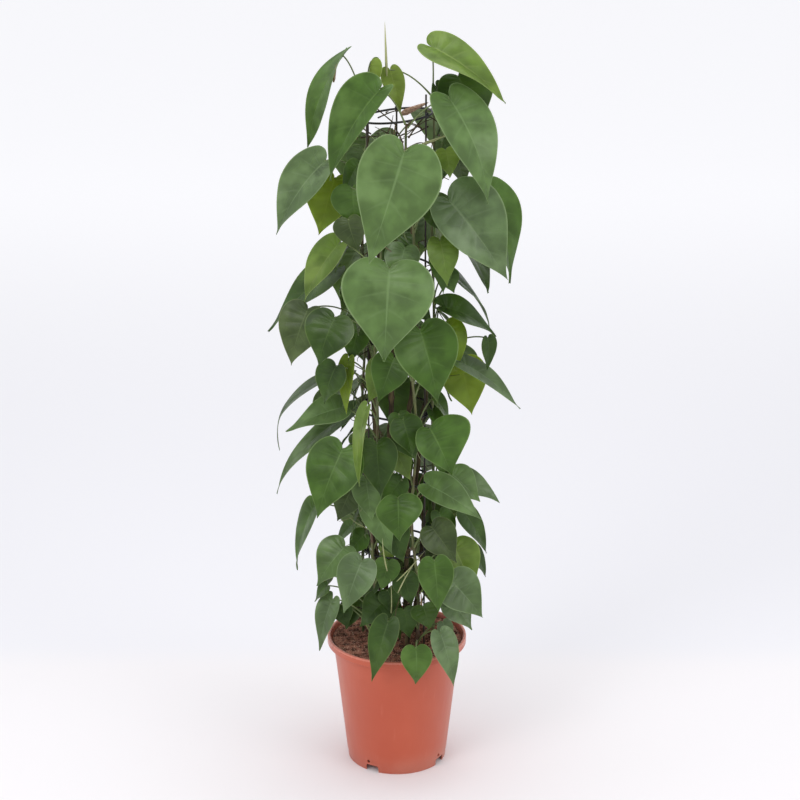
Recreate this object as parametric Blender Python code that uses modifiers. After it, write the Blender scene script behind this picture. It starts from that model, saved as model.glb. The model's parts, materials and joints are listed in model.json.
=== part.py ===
"""A climbing philodendron in a plastic nursery pot, with its soil, ring tower, stems and leaves."""
import math

import bmesh
import bpy
from mathutils import Vector

# Driving dimensions, in metres. The origin is the centre of the pot's underside, +Z is up.
GAP = 0.0003

POT_HEIGHT = 0.228
RIM_RADIUS = 0.120
RIM_OVERHANG = 0.0105
RIM_DEPTH = 0.0125
RIM_ROUND = 0.0022
# Width of the rim's flat top; below it the inside slopes in to the neck of the pot.
RIM_EDGE = 0.0050
BASE_RADIUS = 0.0855
POT_WALL = 0.0025
FOOT_HEIGHT = 0.012
PAD_RADIUS = 0.030
NOTCH_WIDTH = 0.024
NOTCH_COUNT = 4
FIRST_NOTCH = -30.0
DRAIN_RADIUS = 0.003
DRAIN_LIFT = 0.004
DRAIN_REACH = 0.015
POT_STEPS = 36
ROUND_SEGMENTS = 8

SOIL_DROP = 0.006
SOIL_GAP = 0.0006
ROOT_DEPTH = 0.030
ROOT_ROOM = 0.0015
ROOT_SEGMENTS = 10

RING_RADIUS = 0.058
RING_WIRE = 0.0018
RING_SPACING = 0.1225
FIRST_RING = 0.167
RING_TILTS = ((3.0, -2.0), (-2.0, 4.0), (4.0, 2.0), (-3.0, -3.0), (2.0, 4.0), (-4.0, 1.0), (1.0, -6.0))
LEG_RADIUS = 0.0015
LEG_AZIMUTHS = (60.0, 180.0, -60.0)
LEG_DEPTH = 0.100
LEG_TOP = 0.940
TILT_ROOM = 0.0006

STEM_RADIUS = 0.0028
STEM_CLEARANCE = 0.0010
# Each stem: azimuth at the soil, turn per metre of height, side-to-side wave, top above the rim.
STEMS = {
    "stem_front_left": (-42.0, 22.0, 4.0, 0.885),
    "stem_front_right": (32.0, -16.0, 5.0, 0.900),
    "stem_right": (100.0, 14.0, 4.0, 0.935),
    "stem_back": (172.0, 24.0, 6.0, 0.870),
    "stem_left": (-112.0, -16.0, 5.0, 0.905),
}
STEM_WAVES = 3.2
STEM_POINTS = 26

STALK_WIDTH = 0.0034
STALK_THICKNESS = 0.0030
BLADE_THICKNESS = 0.0012
STALK_DROP = 0.045
STALK_LOWEST = 0.0
STALK_LIFT = 0.28
STALK_ROWS = 3

# The margin of a heart-shaped half blade, from the notch at the stalk round the lobe to the tip:
# the share of the blade's length along the midrib, and the share of its half width.
HEART = (
    (-0.010, 0.030), (-0.065, 0.120), (-0.105, 0.340), (-0.080, 0.640), (0.045, 0.910), (0.220, 1.000),
    (0.430, 0.860), (0.640, 0.545), (0.820, 0.245), (0.925, 0.090), (1.000, 0.000),
)
# Where the vein to each of those points leaves the midrib, as a share of its length.
VEIN_ROOTS = (0.008, 0.016, 0.028, 0.050, 0.090, 0.160, 0.285, 0.460, 0.670, 0.850, 0.985)
# A hooked tip starts to bend down at this share of the blade's length.
HOOK_START = 0.55
HOOK_SPAN = 0.2

# Leaves seen from the front: base of the blade and tip of the blade (across, depth, height above the rim),
# width of the blade, compass direction its upper side faces, upward tilt of that side, bow, fold,
# how much wider its right half is than its left, and how far its tip hooks down.
FRONT_LEAVES = (
    ((-0.085, 0.020, 0.994), (-0.1495, 0.020, 0.846), 0.086, -70, 14, 0.06, 10, 0.0, 0.10),
    ((-0.026, -0.072, 0.955), (-0.104, -0.090, 0.815), 0.100, -50, 25, 0.08, 14, -0.28, 0.0),
    ((0.0545, 0.000, 1.012), (0.173, -0.030, 0.927), 0.090, 12, 66, 0.06, 22, -0.10, 0.0),
    ((0.083, -0.052, 0.938), (0.1495, -0.070, 0.774), 0.106, 38, 15, 0.09, 10, 0.0, 0.05),
    ((0.012, -0.136, 0.870), (-0.043, -0.154, 0.697), 0.131, 6, 18, 0.06, 8, 0.06, 0.0),
    ((-0.114, -0.028, 0.834), (-0.194, -0.038, 0.716), 0.092, -34, 46, 0.08, 12, -0.15, 0.0),
    ((0.082, -0.060, 0.778), (0.179, -0.060, 0.647), 0.116, 15, 22, 0.07, 12, 0.18, 0.0),
    ((0.149, 0.030, 0.776), (0.185, 0.015, 0.621), 0.108, 56, 15, 0.08, 12, 0.0, 0.0),
    ((-0.093, -0.030, 0.700), (-0.150, -0.050, 0.608), 0.072, -52, 12, 0.06, 12, -0.1, 0.0),
    ((-0.100, 0.030, 0.644), (-0.2155, 0.045, 0.530), 0.088, -52, 50, 0.05, 12, 0.0, 0.0),
    ((-0.011, -0.130, 0.684), (-0.020, -0.150, 0.537), 0.147, -2, 20, 0.06, 6, 0.0, 0.0),
    ((-0.145, -0.022, 0.588), (-0.174, -0.030, 0.494), 0.084, -20, 28, 0.08, 10, 0.0, 0.0),
    ((-0.099, -0.078, 0.590), (-0.126, -0.086, 0.510), 0.086, -18, 30, 0.09, 8, 0.0, 0.0),
    ((-0.125, 0.020, 0.455), (-0.2235, 0.030, 0.344), 0.062, -88, 45, 0.08, 8, 0.0, 0.22),
    ((-0.080, 0.000, 0.404), (-0.2155, -0.010, 0.272), 0.052, -36, 64, 0.05, 12, 0.0, 0.10),
    ((-0.088, -0.090, 0.370), (-0.131, -0.110, 0.256), 0.098, -18, 22, 0.08, 8, 0.0, 0.0),
    ((0.0375, -0.100, 0.576), (0.066, -0.118, 0.458), 0.106, 12, 20, 0.08, 14, 0.0, 0.0),
    ((0.072, -0.038, 0.597), (0.163, -0.025, 0.541), 0.076, 40, 70, 0.09, 14, 0.0, 0.0),
    ((0.095, 0.040, 0.628), (0.158, 0.050, 0.530), 0.080, 92, 40, 0.08, 8, 0.0, 0.0),
    ((0.106, -0.030, 0.500), (0.204, -0.040, 0.422), 0.056, 38, 70, 0.06, 12, 0.0, 0.0),
    ((0.054, -0.100, 0.408), (0.090, -0.114, 0.333), 0.098, 18, 22, 0.07, 12, 0.25, 0.0),
    ((0.100, -0.005, 0.290), (0.1745, -0.015, 0.247), 0.052, 22, 48, 0.09, 12, 0.0, 0.0),
    ((0.050, -0.076, 0.303), (0.141, -0.085, 0.244), 0.060, 12, 48, 0.07, 14, 0.10, 0.0),
    ((0.002, -0.128, 0.298), (0.0055, -0.142, 0.229), 0.076, 0, 18, 0.06, 26, 0.0, 0.0),
    ((-0.1405, 0.000, 0.236), (-0.171, -0.010, 0.122), 0.074, -72, 12, 0.06, 10, 0.0, 0.0),
    ((-0.087, -0.050, 0.182), (-0.135, -0.060, 0.114), 0.074, -28, 30, 0.08, 12, 0.0, 0.0),
    ((-0.058, -0.095, 0.174), (-0.088, -0.110, 0.087), 0.068, -16, 20, 0.07, 10, 0.0, 0.0),
    ((0.062, -0.128, 0.188), (0.069, -0.136, 0.100), 0.060, 8, 16, 0.07, 10, 0.0, 0.0),
    ((0.089, -0.098, 0.142), (0.144, -0.112, 0.079), 0.078, 20, 25, 0.06, 10, 0.0, 0.0),
)
# Low leaves that lie over the pot's rim: azimuth, reach past the rim and height above the rim of the
# blade's base and tip, then as above.
RIM_LEAVES = (
    ((-7.0, -0.004, 0.074), (-15.5, 0.035, -0.020), 0.050, -16, 18, 0.05, 16, 0.0, 0.0),
    ((12.9, 0.0235, 0.036), (11.9, 0.043, -0.023), 0.053, 8, 22, 0.08, 4, 0.0, 0.0),
    ((32.5, 0.016, 0.052), (35.5, 0.045, -0.036), 0.050, 30, 18, 0.06, 10, 0.0, 0.0),
    ((-65.0, 0.000, 0.086), (-65.4, 0.0245, -0.006), 0.054, -50, 10, 0.06, 10, 0.0, 0.0),
)
# Leaves round the back: azimuth and height above the rim of the blade's base, width.
BACK_LEAVES = (
    (148.0, 0.890, 0.112), (204.0, 0.850, 0.120), (172.0, 0.730, 0.128), (118.0, 0.690, 0.108),
    (214.0, 0.665, 0.112), (196.0, 0.560, 0.124), (136.0, 0.500, 0.110), (228.0, 0.430, 0.112),
    (164.0, 0.340, 0.108), (206.0, 0.200, 0.096),
)
BACK_REACH = 0.048
BACK_SPREAD = 0.062
BACK_TILT = 22
BACK_BOW = 0.08
BACK_FOLD = 10
CHORD_PER_WIDTH = 1.12

# Worked-out sizes.
BODY_RADIUS = RIM_RADIUS - RIM_OVERHANG
UNDER_RIM = POT_HEIGHT - RIM_DEPTH
WALL_SLOPE = (BODY_RADIUS - BASE_RADIUS) / UNDER_RIM
NECK = UNDER_RIM - POT_WALL
RIM_SLOPE = (RIM_RADIUS - RIM_EDGE - BODY_RADIUS + POT_WALL) / (POT_HEIGHT - NECK)
FLOOR_TOP = FOOT_HEIGHT + POT_WALL
SOIL_TOP = POT_HEIGHT - SOIL_DROP
LEG_CIRCLE = RING_RADIUS - RING_WIRE - TILT_ROOM - GAP - LEG_RADIUS
STEM_CIRCLE = RING_RADIUS + RING_WIRE + STEM_CLEARANCE + STEM_RADIUS


def collection(name):
    made = bpy.data.collections.new(name)
    bpy.context.scene.collection.children.link(made)
    return made


def material(name, color, roughness):
    made = bpy.data.materials.new(name)
    made.use_nodes = True
    shader = made.node_tree.nodes["Principled BSDF"]
    shader.inputs["Base Color"].default_value = (*color, 1.0)
    shader.inputs["Roughness"].default_value = roughness
    return made


def add_object(name, data, where, finish=None):
    made = bpy.data.objects.new(name, data)
    where.objects.link(made)
    if finish:
        data.materials.append(finish)
    return made


def add_cutter(name, build, place):
    """A solid that only cuts: build fills a bmesh, and place is its location and its rotation."""
    mesh = bpy.data.meshes.new(name)
    bm = bmesh.new()
    build(bm)
    bm.to_mesh(mesh)
    bm.free()
    made = add_object(name, mesh, cutters)
    made.location, made.rotation_euler = place
    made.hide_render = True
    made.display_type = "WIRE"
    return made


def cut(target, tool):
    modifier = target.modifiers.new(tool.name, "BOOLEAN")
    modifier.operation = "DIFFERENCE"
    modifier.object = tool


def turned(name, profile, finish, steps):
    """A solid of revolution: profile runs down the outside, as (radius, height)."""
    mesh = bpy.data.meshes.new(name)
    points = [(radius, 0.0, height) for radius, height in profile]
    edges = [(i, i + 1) for i in range(len(points) - 1)]
    mesh.from_pydata(points, edges, [])
    made = add_object(name, mesh, plant, finish)
    screw = made.modifiers.new("turned", "SCREW")
    screw.steps = steps
    screw.render_steps = steps
    screw.use_merge_vertices = True
    screw.merge_threshold = 0.00001
    return made


def wall_radius(height):
    """Outside radius of the pot's body at a height."""
    return BASE_RADIUS + WALL_SLOPE * height


def inside_radius(height):
    """Inside radius of the pot at a height: it widens above the neck."""
    if height <= NECK:
        return wall_radius(height) - POT_WALL
    return wall_radius(NECK) - POT_WALL + RIM_SLOPE * (height - NECK)


def direction(azimuth):
    """Unit vector for a compass direction: 0 is the front, 90 the right."""
    turn = math.radians(azimuth)
    return Vector((math.sin(turn), -math.cos(turn), 0.0))


def cylinder(radius, depth, segments):
    def build(bm):
        bmesh.ops.create_cone(
            bm, cap_ends=True, segments=segments, radius1=radius, radius2=radius, depth=depth
        )
    return build


def block(width, depth, height):
    def build(bm):
        bmesh.ops.create_cube(bm, size=1.0)
        bmesh.ops.scale(bm, vec=(width, depth, height), verts=bm.verts)
    return build


def make_pot():
    """Thin-walled pot: overhanging rim, tapered body, raised floor on a skirt and a centre pad."""
    inner = POT_WALL
    pot = turned(
        "pot",
        (
            (0.0, inner),
            (PAD_RADIUS - inner, inner),
            (PAD_RADIUS, FLOOR_TOP),
            (inside_radius(FLOOR_TOP), FLOOR_TOP),
            (inside_radius(NECK), NECK),
            (inside_radius(POT_HEIGHT), POT_HEIGHT),
            (RIM_RADIUS - RIM_ROUND, POT_HEIGHT),
            (RIM_RADIUS, POT_HEIGHT - RIM_ROUND),
            (RIM_RADIUS, UNDER_RIM),
            (BODY_RADIUS, UNDER_RIM),
            (BASE_RADIUS, 0.0),
            (BASE_RADIUS - inner, 0.0),
            (wall_radius(FOOT_HEIGHT) - inner, FOOT_HEIGHT),
            (PAD_RADIUS + inner, FOOT_HEIGHT),
            (PAD_RADIUS, 0.0),
            (0.0, 0.0),
        ),
        material("pot_plastic", (0.50, 0.105, 0.062), 0.45),
        POT_STEPS,
    )
    notch_reach = BASE_RADIUS - PAD_RADIUS
    for i in range(NOTCH_COUNT):
        azimuth = FIRST_NOTCH + i * 360.0 / NOTCH_COUNT
        out = direction(azimuth)
        turn = (0.0, 0.0, math.radians(azimuth))
        notch = add_cutter(
            f"notch_cutter_{i + 1}",
            block(NOTCH_WIDTH, notch_reach, 2 * (FOOT_HEIGHT - GAP)),
            (out * BASE_RADIUS, turn),
        )
        cut(pot, notch)
        beside = direction(azimuth - 90.0) * (NOTCH_WIDTH / 4)
        height = FLOOR_TOP + DRAIN_LIFT
        drain = add_cutter(
            f"drain_cutter_{i + 1}",
            cylinder(DRAIN_RADIUS, DRAIN_REACH, ROUND_SEGMENTS),
            (out * wall_radius(height) + beside + Vector((0, 0, height)), (math.pi / 2, 0.0, turn[2])),
        )
        cut(pot, drain)
    return pot


def make_soil():
    """The root ball's coir soil, a loose fit in the pot, with holes for the legs and stems."""
    bottom = FLOOR_TOP + GAP
    return turned(
        "soil",
        (
            (0.0, SOIL_TOP),
            (inside_radius(SOIL_TOP) - SOIL_GAP, SOIL_TOP),
            (inside_radius(NECK) - GAP, NECK),
            (inside_radius(bottom) - GAP, bottom),
            (0.0, bottom),
        ),
        material("coir", (0.105, 0.048, 0.030), 0.95),
        POT_STEPS,
    )


def make_legs(soil):
    finish = material("leg_coating", (0.030, 0.024, 0.020), 0.5)
    bottom = SOIL_TOP - LEG_DEPTH
    top = POT_HEIGHT + LEG_TOP
    for i, azimuth in enumerate(LEG_AZIMUTHS):
        mesh = bpy.data.meshes.new(f"tower_leg_{i + 1}")
        bm = bmesh.new()
        cylinder(LEG_RADIUS, top - bottom, ROUND_SEGMENTS)(bm)
        bm.to_mesh(mesh)
        bm.free()
        leg = add_object(mesh.name, mesh, plant, finish)
        foot = direction(azimuth) * LEG_CIRCLE
        leg.location = (foot.x, foot.y, (top + bottom) / 2)
        hole = add_cutter(
            f"leg_cutter_{i + 1}",
            cylinder(LEG_RADIUS + 2 * GAP, 2 * (LEG_DEPTH + GAP), ROUND_SEGMENTS),
            ((foot.x, foot.y, SOIL_TOP), (0.0, 0.0, 0.0)),
        )
        cut(soil, hole)


def make_rings():
    finish = material("ring_coating", (0.014, 0.014, 0.015), 0.4)
    for i, (lean_back, lean_right) in enumerate(RING_TILTS):
        bpy.ops.mesh.primitive_torus_add(
            major_radius=RING_RADIUS, minor_radius=RING_WIRE, major_segments=24, minor_segments=6,
            location=(0.0, 0.0, POT_HEIGHT + FIRST_RING + i * RING_SPACING),
            rotation=(math.radians(lean_back), math.radians(lean_right), 0.0),
        )
        ring = bpy.context.object
        ring.name = f"tower_ring_{i + 1}"
        ring.data.name = ring.name
        ring.data.materials.append(finish)
        for old in ring.users_collection:
            old.objects.unlink(ring)
        plant.objects.link(ring)
        ring.data.shade_smooth()


def stem_centre(stem, height):
    """Point on a stem's centre line at a height above the rim: it climbs the outside of the rings."""
    azimuth, turn, wave, _ = STEMS[stem]
    sway = wave * math.sin(math.tau * STEM_WAVES * height)
    centre = direction(azimuth + turn * height + sway) * STEM_CIRCLE
    return Vector((centre.x, centre.y, POT_HEIGHT + height))


def make_stems(soil):
    finish = material("stem_bark", (0.115, 0.130, 0.040), 0.6)
    made = {}
    root = -SOIL_DROP - ROOT_DEPTH
    for stem, (_, _, _, top) in STEMS.items():
        curve = bpy.data.curves.new(stem, "CURVE")
        curve.dimensions = "3D"
        curve.bevel_depth = STEM_RADIUS
        curve.bevel_resolution = 1
        curve.use_fill_caps = True
        spline = curve.splines.new("POLY")
        spline.points.add(STEM_POINTS - 1)
        for i, point in enumerate(spline.points):
            point.co = (*stem_centre(stem, root + (top - root) * i / (STEM_POINTS - 1)), 1.0)
        made[stem] = add_object(stem, curve, plant, finish)
        foot = stem_centre(stem, root)
        mouth = stem_centre(stem, -SOIL_DROP)
        reach = STEM_RADIUS + (mouth - foot).to_2d().length + ROOT_ROOM
        hole = add_cutter(
            f"{stem}_cutter",
            cylinder(reach, 2 * (ROOT_DEPTH + STEM_RADIUS), ROOT_SEGMENTS),
            (((foot.x + mouth.x) / 2, (foot.y + mouth.y) / 2, SOIL_TOP), (0.0, 0.0, 0.0)),
        )
        cut(soil, hole)
    return made


def nearest_stem(base):
    """The stem that a leaf grows on, and the height above the rim where its stalk starts."""
    def distance(stem):
        height = max(base.z - POT_HEIGHT - STALK_DROP, STALK_LOWEST)
        height = min(height, STEMS[stem][3] - STALK_WIDTH)
        return (stem_centre(stem, height) - base).length, stem, height
    _, stem, height = min(distance(stem) for stem in STEMS)
    return stem, height


def leaf_surface(base, tip, width, facing, tilt, bow, fold, lean, hook):
    """A function from (share of length, share of half width) to a point on the blade."""
    along = tip - base
    length = along.length
    along.normalize()
    up = direction(facing) * math.cos(math.radians(tilt)) + Vector((0, 0, math.sin(math.radians(tilt))))
    up = (up - along * up.dot(along)).normalized()
    across = along.cross(up)

    def point(share, side):
        rise = 4 * bow * length * (share - share * share)
        half = width / 2 * (1 + lean if side < 0 else 1 - lean)
        rise += abs(side) * half * math.tan(math.radians(fold))
        rise -= hook * length * max(share - HOOK_START, 0.0) ** 2 / HOOK_SPAN
        return base + along * (share * length) + across * (side * half) + up * rise
    return point, across


def stalk_point(foot, base, share):
    """A point on the stalk's arch, from the stem to the blade."""
    span = base - foot
    middle = foot + span / 2 + Vector((0, 0, STALK_LIFT * span.length))
    return foot * (1 - share) ** 2 + middle * (2 * share * (1 - share)) + base * share**2


def make_leaf(name, stems, base, tip, *shape):
    """Stalk and heart-shaped blade as one closed body: a strip three points wide, given thickness."""
    stem, height = nearest_stem(base)
    centre = stem_centre(stem, height)
    out = base - centre
    out.z = 0.0
    out.normalize()
    foot = centre + out * (STEM_RADIUS + GAP)
    blade, across = leaf_surface(base, tip, *shape)
    rows = []
    bend = foot + out * STALK_THICKNESS
    for i in range(-1, STALK_ROWS):
        share = max(i, 0) / STALK_ROWS
        middle = stalk_point(bend, base, share) if i >= 0 else foot
        run = stalk_point(bend, base, share + 0.01) - middle if i >= 0 else out
        side = across - run * (across.dot(run) / run.length_squared)
        half = side.normalized() * (STALK_WIDTH / 2)
        rows.append((middle - half, middle, middle + half))
    for (share, side), root in zip(HEART, VEIN_ROOTS):
        rows.append((blade(share, -side), blade(root, 0.0), blade(share, side)))
    mesh = bpy.data.meshes.new(name)
    bm = bmesh.new()
    bmesh.ops.create_grid(bm, x_segments=2, y_segments=len(rows) - 1, size=1.0)
    grid = sorted(bm.verts, key=lambda v: (round(v.co.y, 4), v.co.x))
    for j, row in enumerate(rows):
        for i, place in enumerate(row):
            grid[3 * j + i].co = place - foot
    bm.to_mesh(mesh)
    bm.free()
    leaf = add_object(name, mesh, plant, leaf_finish)
    leaf.location = foot
    leaf.parent = stems[stem]
    stalk = leaf.vertex_groups.new(name="stalk")
    stalk.add(list(range(3 * (STALK_ROWS + 1))), 1.0, "REPLACE")
    shell = leaf.modifiers.new("thickness", "SOLIDIFY")
    shell.thickness = STALK_THICKNESS
    shell.offset = 0.0
    shell.vertex_group = "stalk"
    shell.thickness_vertex_group = BLADE_THICKNESS / STALK_THICKNESS
    return leaf


def make_leaves(stems):
    rim = Vector((0, 0, POT_HEIGHT))
    specs = [(rim + Vector(base), rim + Vector(tip), *shape) for base, tip, *shape in FRONT_LEAVES]
    for base, tip, *shape in RIM_LEAVES:
        ends = [
            direction(azimuth) * (RIM_RADIUS + reach) + rim + Vector((0, 0, height))
            for azimuth, reach, height in (base, tip)
        ]
        specs.append((*ends, *shape))
    for azimuth, height, width in BACK_LEAVES:
        out = direction(azimuth)
        drop = math.sqrt((CHORD_PER_WIDTH * width) ** 2 - BACK_SPREAD**2)
        base = rim + out * (STEM_CIRCLE + BACK_REACH) + Vector((0, 0, height))
        tip = base + out * BACK_SPREAD - Vector((0, 0, drop))
        specs.append((base, tip, width, azimuth, BACK_TILT, BACK_BOW, BACK_FOLD, 0.0, 0.0))
    for i, spec in enumerate(specs):
        make_leaf(f"leaf_{i + 1:02d}", stems, *spec)


for old in list(bpy.data.objects):
    bpy.data.objects.remove(old, do_unlink=True)
plant = collection("potted_philodendron")
cutters = collection("cutters")
leaf_finish = material("leaf_green", (0.075, 0.170, 0.055), 0.4)

make_pot()
root_ball = make_soil()
make_legs(root_ball)
make_rings()
make_leaves(make_stems(root_ball))
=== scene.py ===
"""A climbing heart-leaf philodendron in a plastic nursery pot, trained up a tower of wire rings."""
import json
import math
import random

import bmesh
import bpy
from mathutils import Matrix, Vector, noise
from mathutils.bvhtree import BVHTree

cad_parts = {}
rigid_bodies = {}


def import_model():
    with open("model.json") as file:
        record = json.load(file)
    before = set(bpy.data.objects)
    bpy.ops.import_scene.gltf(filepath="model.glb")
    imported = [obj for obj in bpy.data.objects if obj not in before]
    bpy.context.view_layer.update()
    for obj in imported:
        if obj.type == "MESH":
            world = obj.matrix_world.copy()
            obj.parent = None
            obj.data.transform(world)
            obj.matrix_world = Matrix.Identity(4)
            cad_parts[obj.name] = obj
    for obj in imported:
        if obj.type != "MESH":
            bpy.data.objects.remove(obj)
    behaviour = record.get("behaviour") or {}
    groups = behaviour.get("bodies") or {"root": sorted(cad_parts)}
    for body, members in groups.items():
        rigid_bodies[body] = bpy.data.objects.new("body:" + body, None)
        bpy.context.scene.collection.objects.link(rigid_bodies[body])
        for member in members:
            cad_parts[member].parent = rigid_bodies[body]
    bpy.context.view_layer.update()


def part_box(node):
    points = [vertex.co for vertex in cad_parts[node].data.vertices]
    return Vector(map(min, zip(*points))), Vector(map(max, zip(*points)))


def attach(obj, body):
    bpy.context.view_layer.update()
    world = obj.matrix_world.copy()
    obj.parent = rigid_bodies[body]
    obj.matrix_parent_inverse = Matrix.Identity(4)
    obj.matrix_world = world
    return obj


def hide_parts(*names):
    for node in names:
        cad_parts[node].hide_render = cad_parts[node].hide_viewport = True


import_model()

# The studio: one pale floor that runs back to the horizon, a large soft lamp on each side and
# one overhead, and a white surround that fills every shadow. Its far part glows faintly.
FLOOR_SIZE = 24.0
FLOOR_FRONT = (0.90, 0.875, 0.885)
FLOOR_BACK = (0.865, 0.857, 0.885)
FAR_GLOW = (0.25, 0.25, 0.24)
FLOOR_CHANGE = (0.32, 0.46)
GLOW_CHANGE = (0.5, 5.0)
LAMPS = {
    "left_lamp": ((-1.7, -2.2, 2.6), 1.6, 26.0),
    "right_lamp": ((2.2, -1.6, 1.9), 1.6, 12.0),
    "top_lamp": ((0.1, 0.3, 3.2), 1.8, 20.0),
}
LAMP_AIM = Vector((0.0, 0.0, 0.65))
SURROUND = (0.96, 0.97, 1.0)
SURROUND_STRENGTH = 0.82
CAMERA_PLACE = (0.0055, -3.20, 1.69)
CAMERA_TILT = 72.04
CAMERA_LENS = 90.7


def node(tree, kind, values=(), **settings):
    """Adds a node to a tree. A value for one of its inputs is a number, a colour or a socket to link."""
    made = tree.nodes.new(kind)
    for name, value in settings.items():
        setattr(made, name, value)
    for key, value in dict(values).items():
        if isinstance(value, bpy.types.NodeSocket):
            tree.links.new(value, made.inputs[key])
        else:
            made.inputs[key].default_value = value
    return made


def blended(tree, factor, first, second, blend="MIX"):
    """Two colours mixed by a factor."""
    mix = node(
        tree, "ShaderNodeMix", {0: factor, 6: first, 7: second}, data_type="RGBA", blend_type=blend
    )
    return mix.outputs[2]


def ranged(tree, value, low, high, to_low=0.0, to_high=1.0):
    """A value taken smoothly from one range to another."""
    made = node(
        tree, "ShaderNodeMapRange", {0: value, 1: low, 2: high, 3: to_low, 4: to_high},
        interpolation_type="SMOOTHSTEP",
    )
    return made.outputs[0]


def finish(name, **values):
    """A material and its Principled shader, with plain values set on the shader's own sockets."""
    made = bpy.data.materials.new(name)
    made.use_nodes = True
    shader = made.node_tree.nodes["Principled BSDF"]
    for socket, value in values.items():
        shader.inputs[socket.replace("_", " ")].default_value = value
    return made, made.node_tree, shader


def link(obj):
    """Puts an object in the scene."""
    bpy.context.scene.collection.objects.link(obj)
    return obj


paper, tree, shader = finish("studio_floor", Roughness=0.9, Specular_IOR_Level=0.1)
across = node(tree, "ShaderNodeSeparateXYZ", {0: node(tree, "ShaderNodeTexCoord").outputs["Object"]})
tree.links.new(
    blended(tree, ranged(tree, across.outputs[1], *FLOOR_CHANGE), (*FLOOR_FRONT, 1), (*FLOOR_BACK, 1)),
    shader.inputs["Base Color"],
)
far_share = ranged(tree, across.outputs[1], *GLOW_CHANGE)
tree.links.new(blended(tree, far_share, (0, 0, 0, 1), (*FAR_GLOW, 1)), shader.inputs["Emission Color"])
shader.inputs["Emission Strength"].default_value = 1.0
bpy.ops.mesh.primitive_plane_add(size=FLOOR_SIZE)
floor = bpy.context.object
floor.name = "floor"
floor.data.materials.append(paper)

for name, (place, size, energy) in LAMPS.items():
    lamp = bpy.data.lights.new(name, "AREA")
    lamp.shape = "DISK"
    lamp.size = size
    lamp.energy = energy
    holder = link(bpy.data.objects.new(name, lamp))
    holder.location = place
    holder.rotation_euler = (LAMP_AIM - Vector(place)).to_track_quat("-Z", "Y").to_euler()

surround = bpy.data.worlds.new("surround")
bpy.context.scene.world = surround
surround.use_nodes = True
surround.node_tree.nodes["Background"].inputs[0].default_value = (*SURROUND, 1.0)
surround.node_tree.nodes["Background"].inputs[1].default_value = SURROUND_STRENGTH

camera = bpy.data.cameras.new("camera")
camera.lens = CAMERA_LENS
viewer = link(bpy.data.objects.new("camera", camera))
viewer.location = CAMERA_PLACE
viewer.rotation_euler = (math.radians(CAMERA_TILT), 0.0, 0.0)
bpy.context.scene.camera = viewer
bpy.context.scene.view_settings.view_transform = "Standard"


# The pot: injection-moulded terracotta-coloured polypropylene, a thin tapered wall under an
# overhanging rim, standing on a foot ring that has four notches with a drain hole beside each.
pot_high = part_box("pot")[1]
POT_HEIGHT = pot_high.z
RIM_RADIUS = pot_high.x
RIM_OVERHANG = 0.0105
RIM_DEPTH = 0.0125
RIM_LIP = 0.0018
RIM_EDGE = 0.0050
COVE = 0.0045
BASE_RADIUS = 0.0855
POT_WALL = 0.0025
FOOT_HEIGHT = 0.012
PAD_RADIUS = 0.030
NOTCH_WIDTH = 0.024
NOTCHES = (-30.0, 60.0, 150.0, 240.0)
DRAIN_RADIUS = 0.003
DRAIN_LIFT = 0.004
DRAIN_SIDES = 24
NOTCH_REACH = 0.05
NOTCH_CORNER = 0.004
RIM_SHINE = 0.0045
POT_STEPS = 160
SMOOTH_BELOW = 38.0
UNDER_RIM = POT_HEIGHT - RIM_DEPTH
BODY_RADIUS = RIM_RADIUS - RIM_OVERHANG
WALL_SLOPE = (BODY_RADIUS - BASE_RADIUS) / UNDER_RIM
FLOOR_TOP = FOOT_HEIGHT + POT_WALL
FLOOR_CURVE = 1.4 * POT_WALL
FOOT_STEP = 0.0006
WALL_HEIGHTS = (0.17, 0.12, 0.07, 0.03, FOOT_HEIGHT + 0.002)


def sums(tree, operation, *values, clamp=False):
    """A Math node's result."""
    return node(tree, "ShaderNodeMath", enumerate(values), operation=operation, use_clamp=clamp).outputs[0]


def object_noise(tree, scale, detail=2.0, stretch=(1.0, 1.0, 1.0)):
    """Noise fixed to the piece, as a value from 0 to 1."""
    place = node(tree, "ShaderNodeTexCoord").outputs["Object"]
    turned = node(tree, "ShaderNodeMapping", {"Vector": place, "Scale": stretch}).outputs[0]
    return node(tree, "ShaderNodeTexNoise", {"Vector": turned, "Scale": scale, "Detail": detail}).outputs[0]


def bumped(tree, shader, height, strength, distance):
    """Fine relief on a surface, from a height that changes over it."""
    bump = node(tree, "ShaderNodeBump", {"Strength": strength, "Distance": distance, "Height": height})
    tree.links.new(bump.outputs[0], shader.inputs["Normal"])


def plain_mesh(obj, name):
    """The object's mesh with its modifiers applied; the object itself is dropped."""
    graph = bpy.context.evaluated_depsgraph_get()
    mesh = bpy.data.meshes.new_from_object(obj.evaluated_get(graph))
    bpy.data.objects.remove(obj)
    mesh.name = name
    return mesh


def settle(name, mesh, slot, *nodes):
    """A finished piece: it rides on the plant's one body and stands for these frame nodes."""
    piece = link(bpy.data.objects.new(name, mesh))
    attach(piece, "root")
    if nodes:
        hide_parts(*nodes)
    return piece


def wall_radius(height):
    """Outside radius of the pot's body at a height."""
    return BASE_RADIUS + WALL_SLOPE * height


def direction(azimuth):
    """Unit vector for a compass direction: 0 is the front, 90 the right."""
    turn = math.radians(azimuth)
    return Vector((math.sin(turn), -math.cos(turn), 0.0))


def arc(centre, radius, start, end, steps=5):
    """Points on a round corner of a profile, from one angle to another, in degrees."""
    angles = [math.radians(start + (end - start) * i / steps) for i in range(steps + 1)]
    return [(centre[0] + radius * math.cos(a), centre[1] + radius * math.sin(a)) for a in angles]


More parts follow.
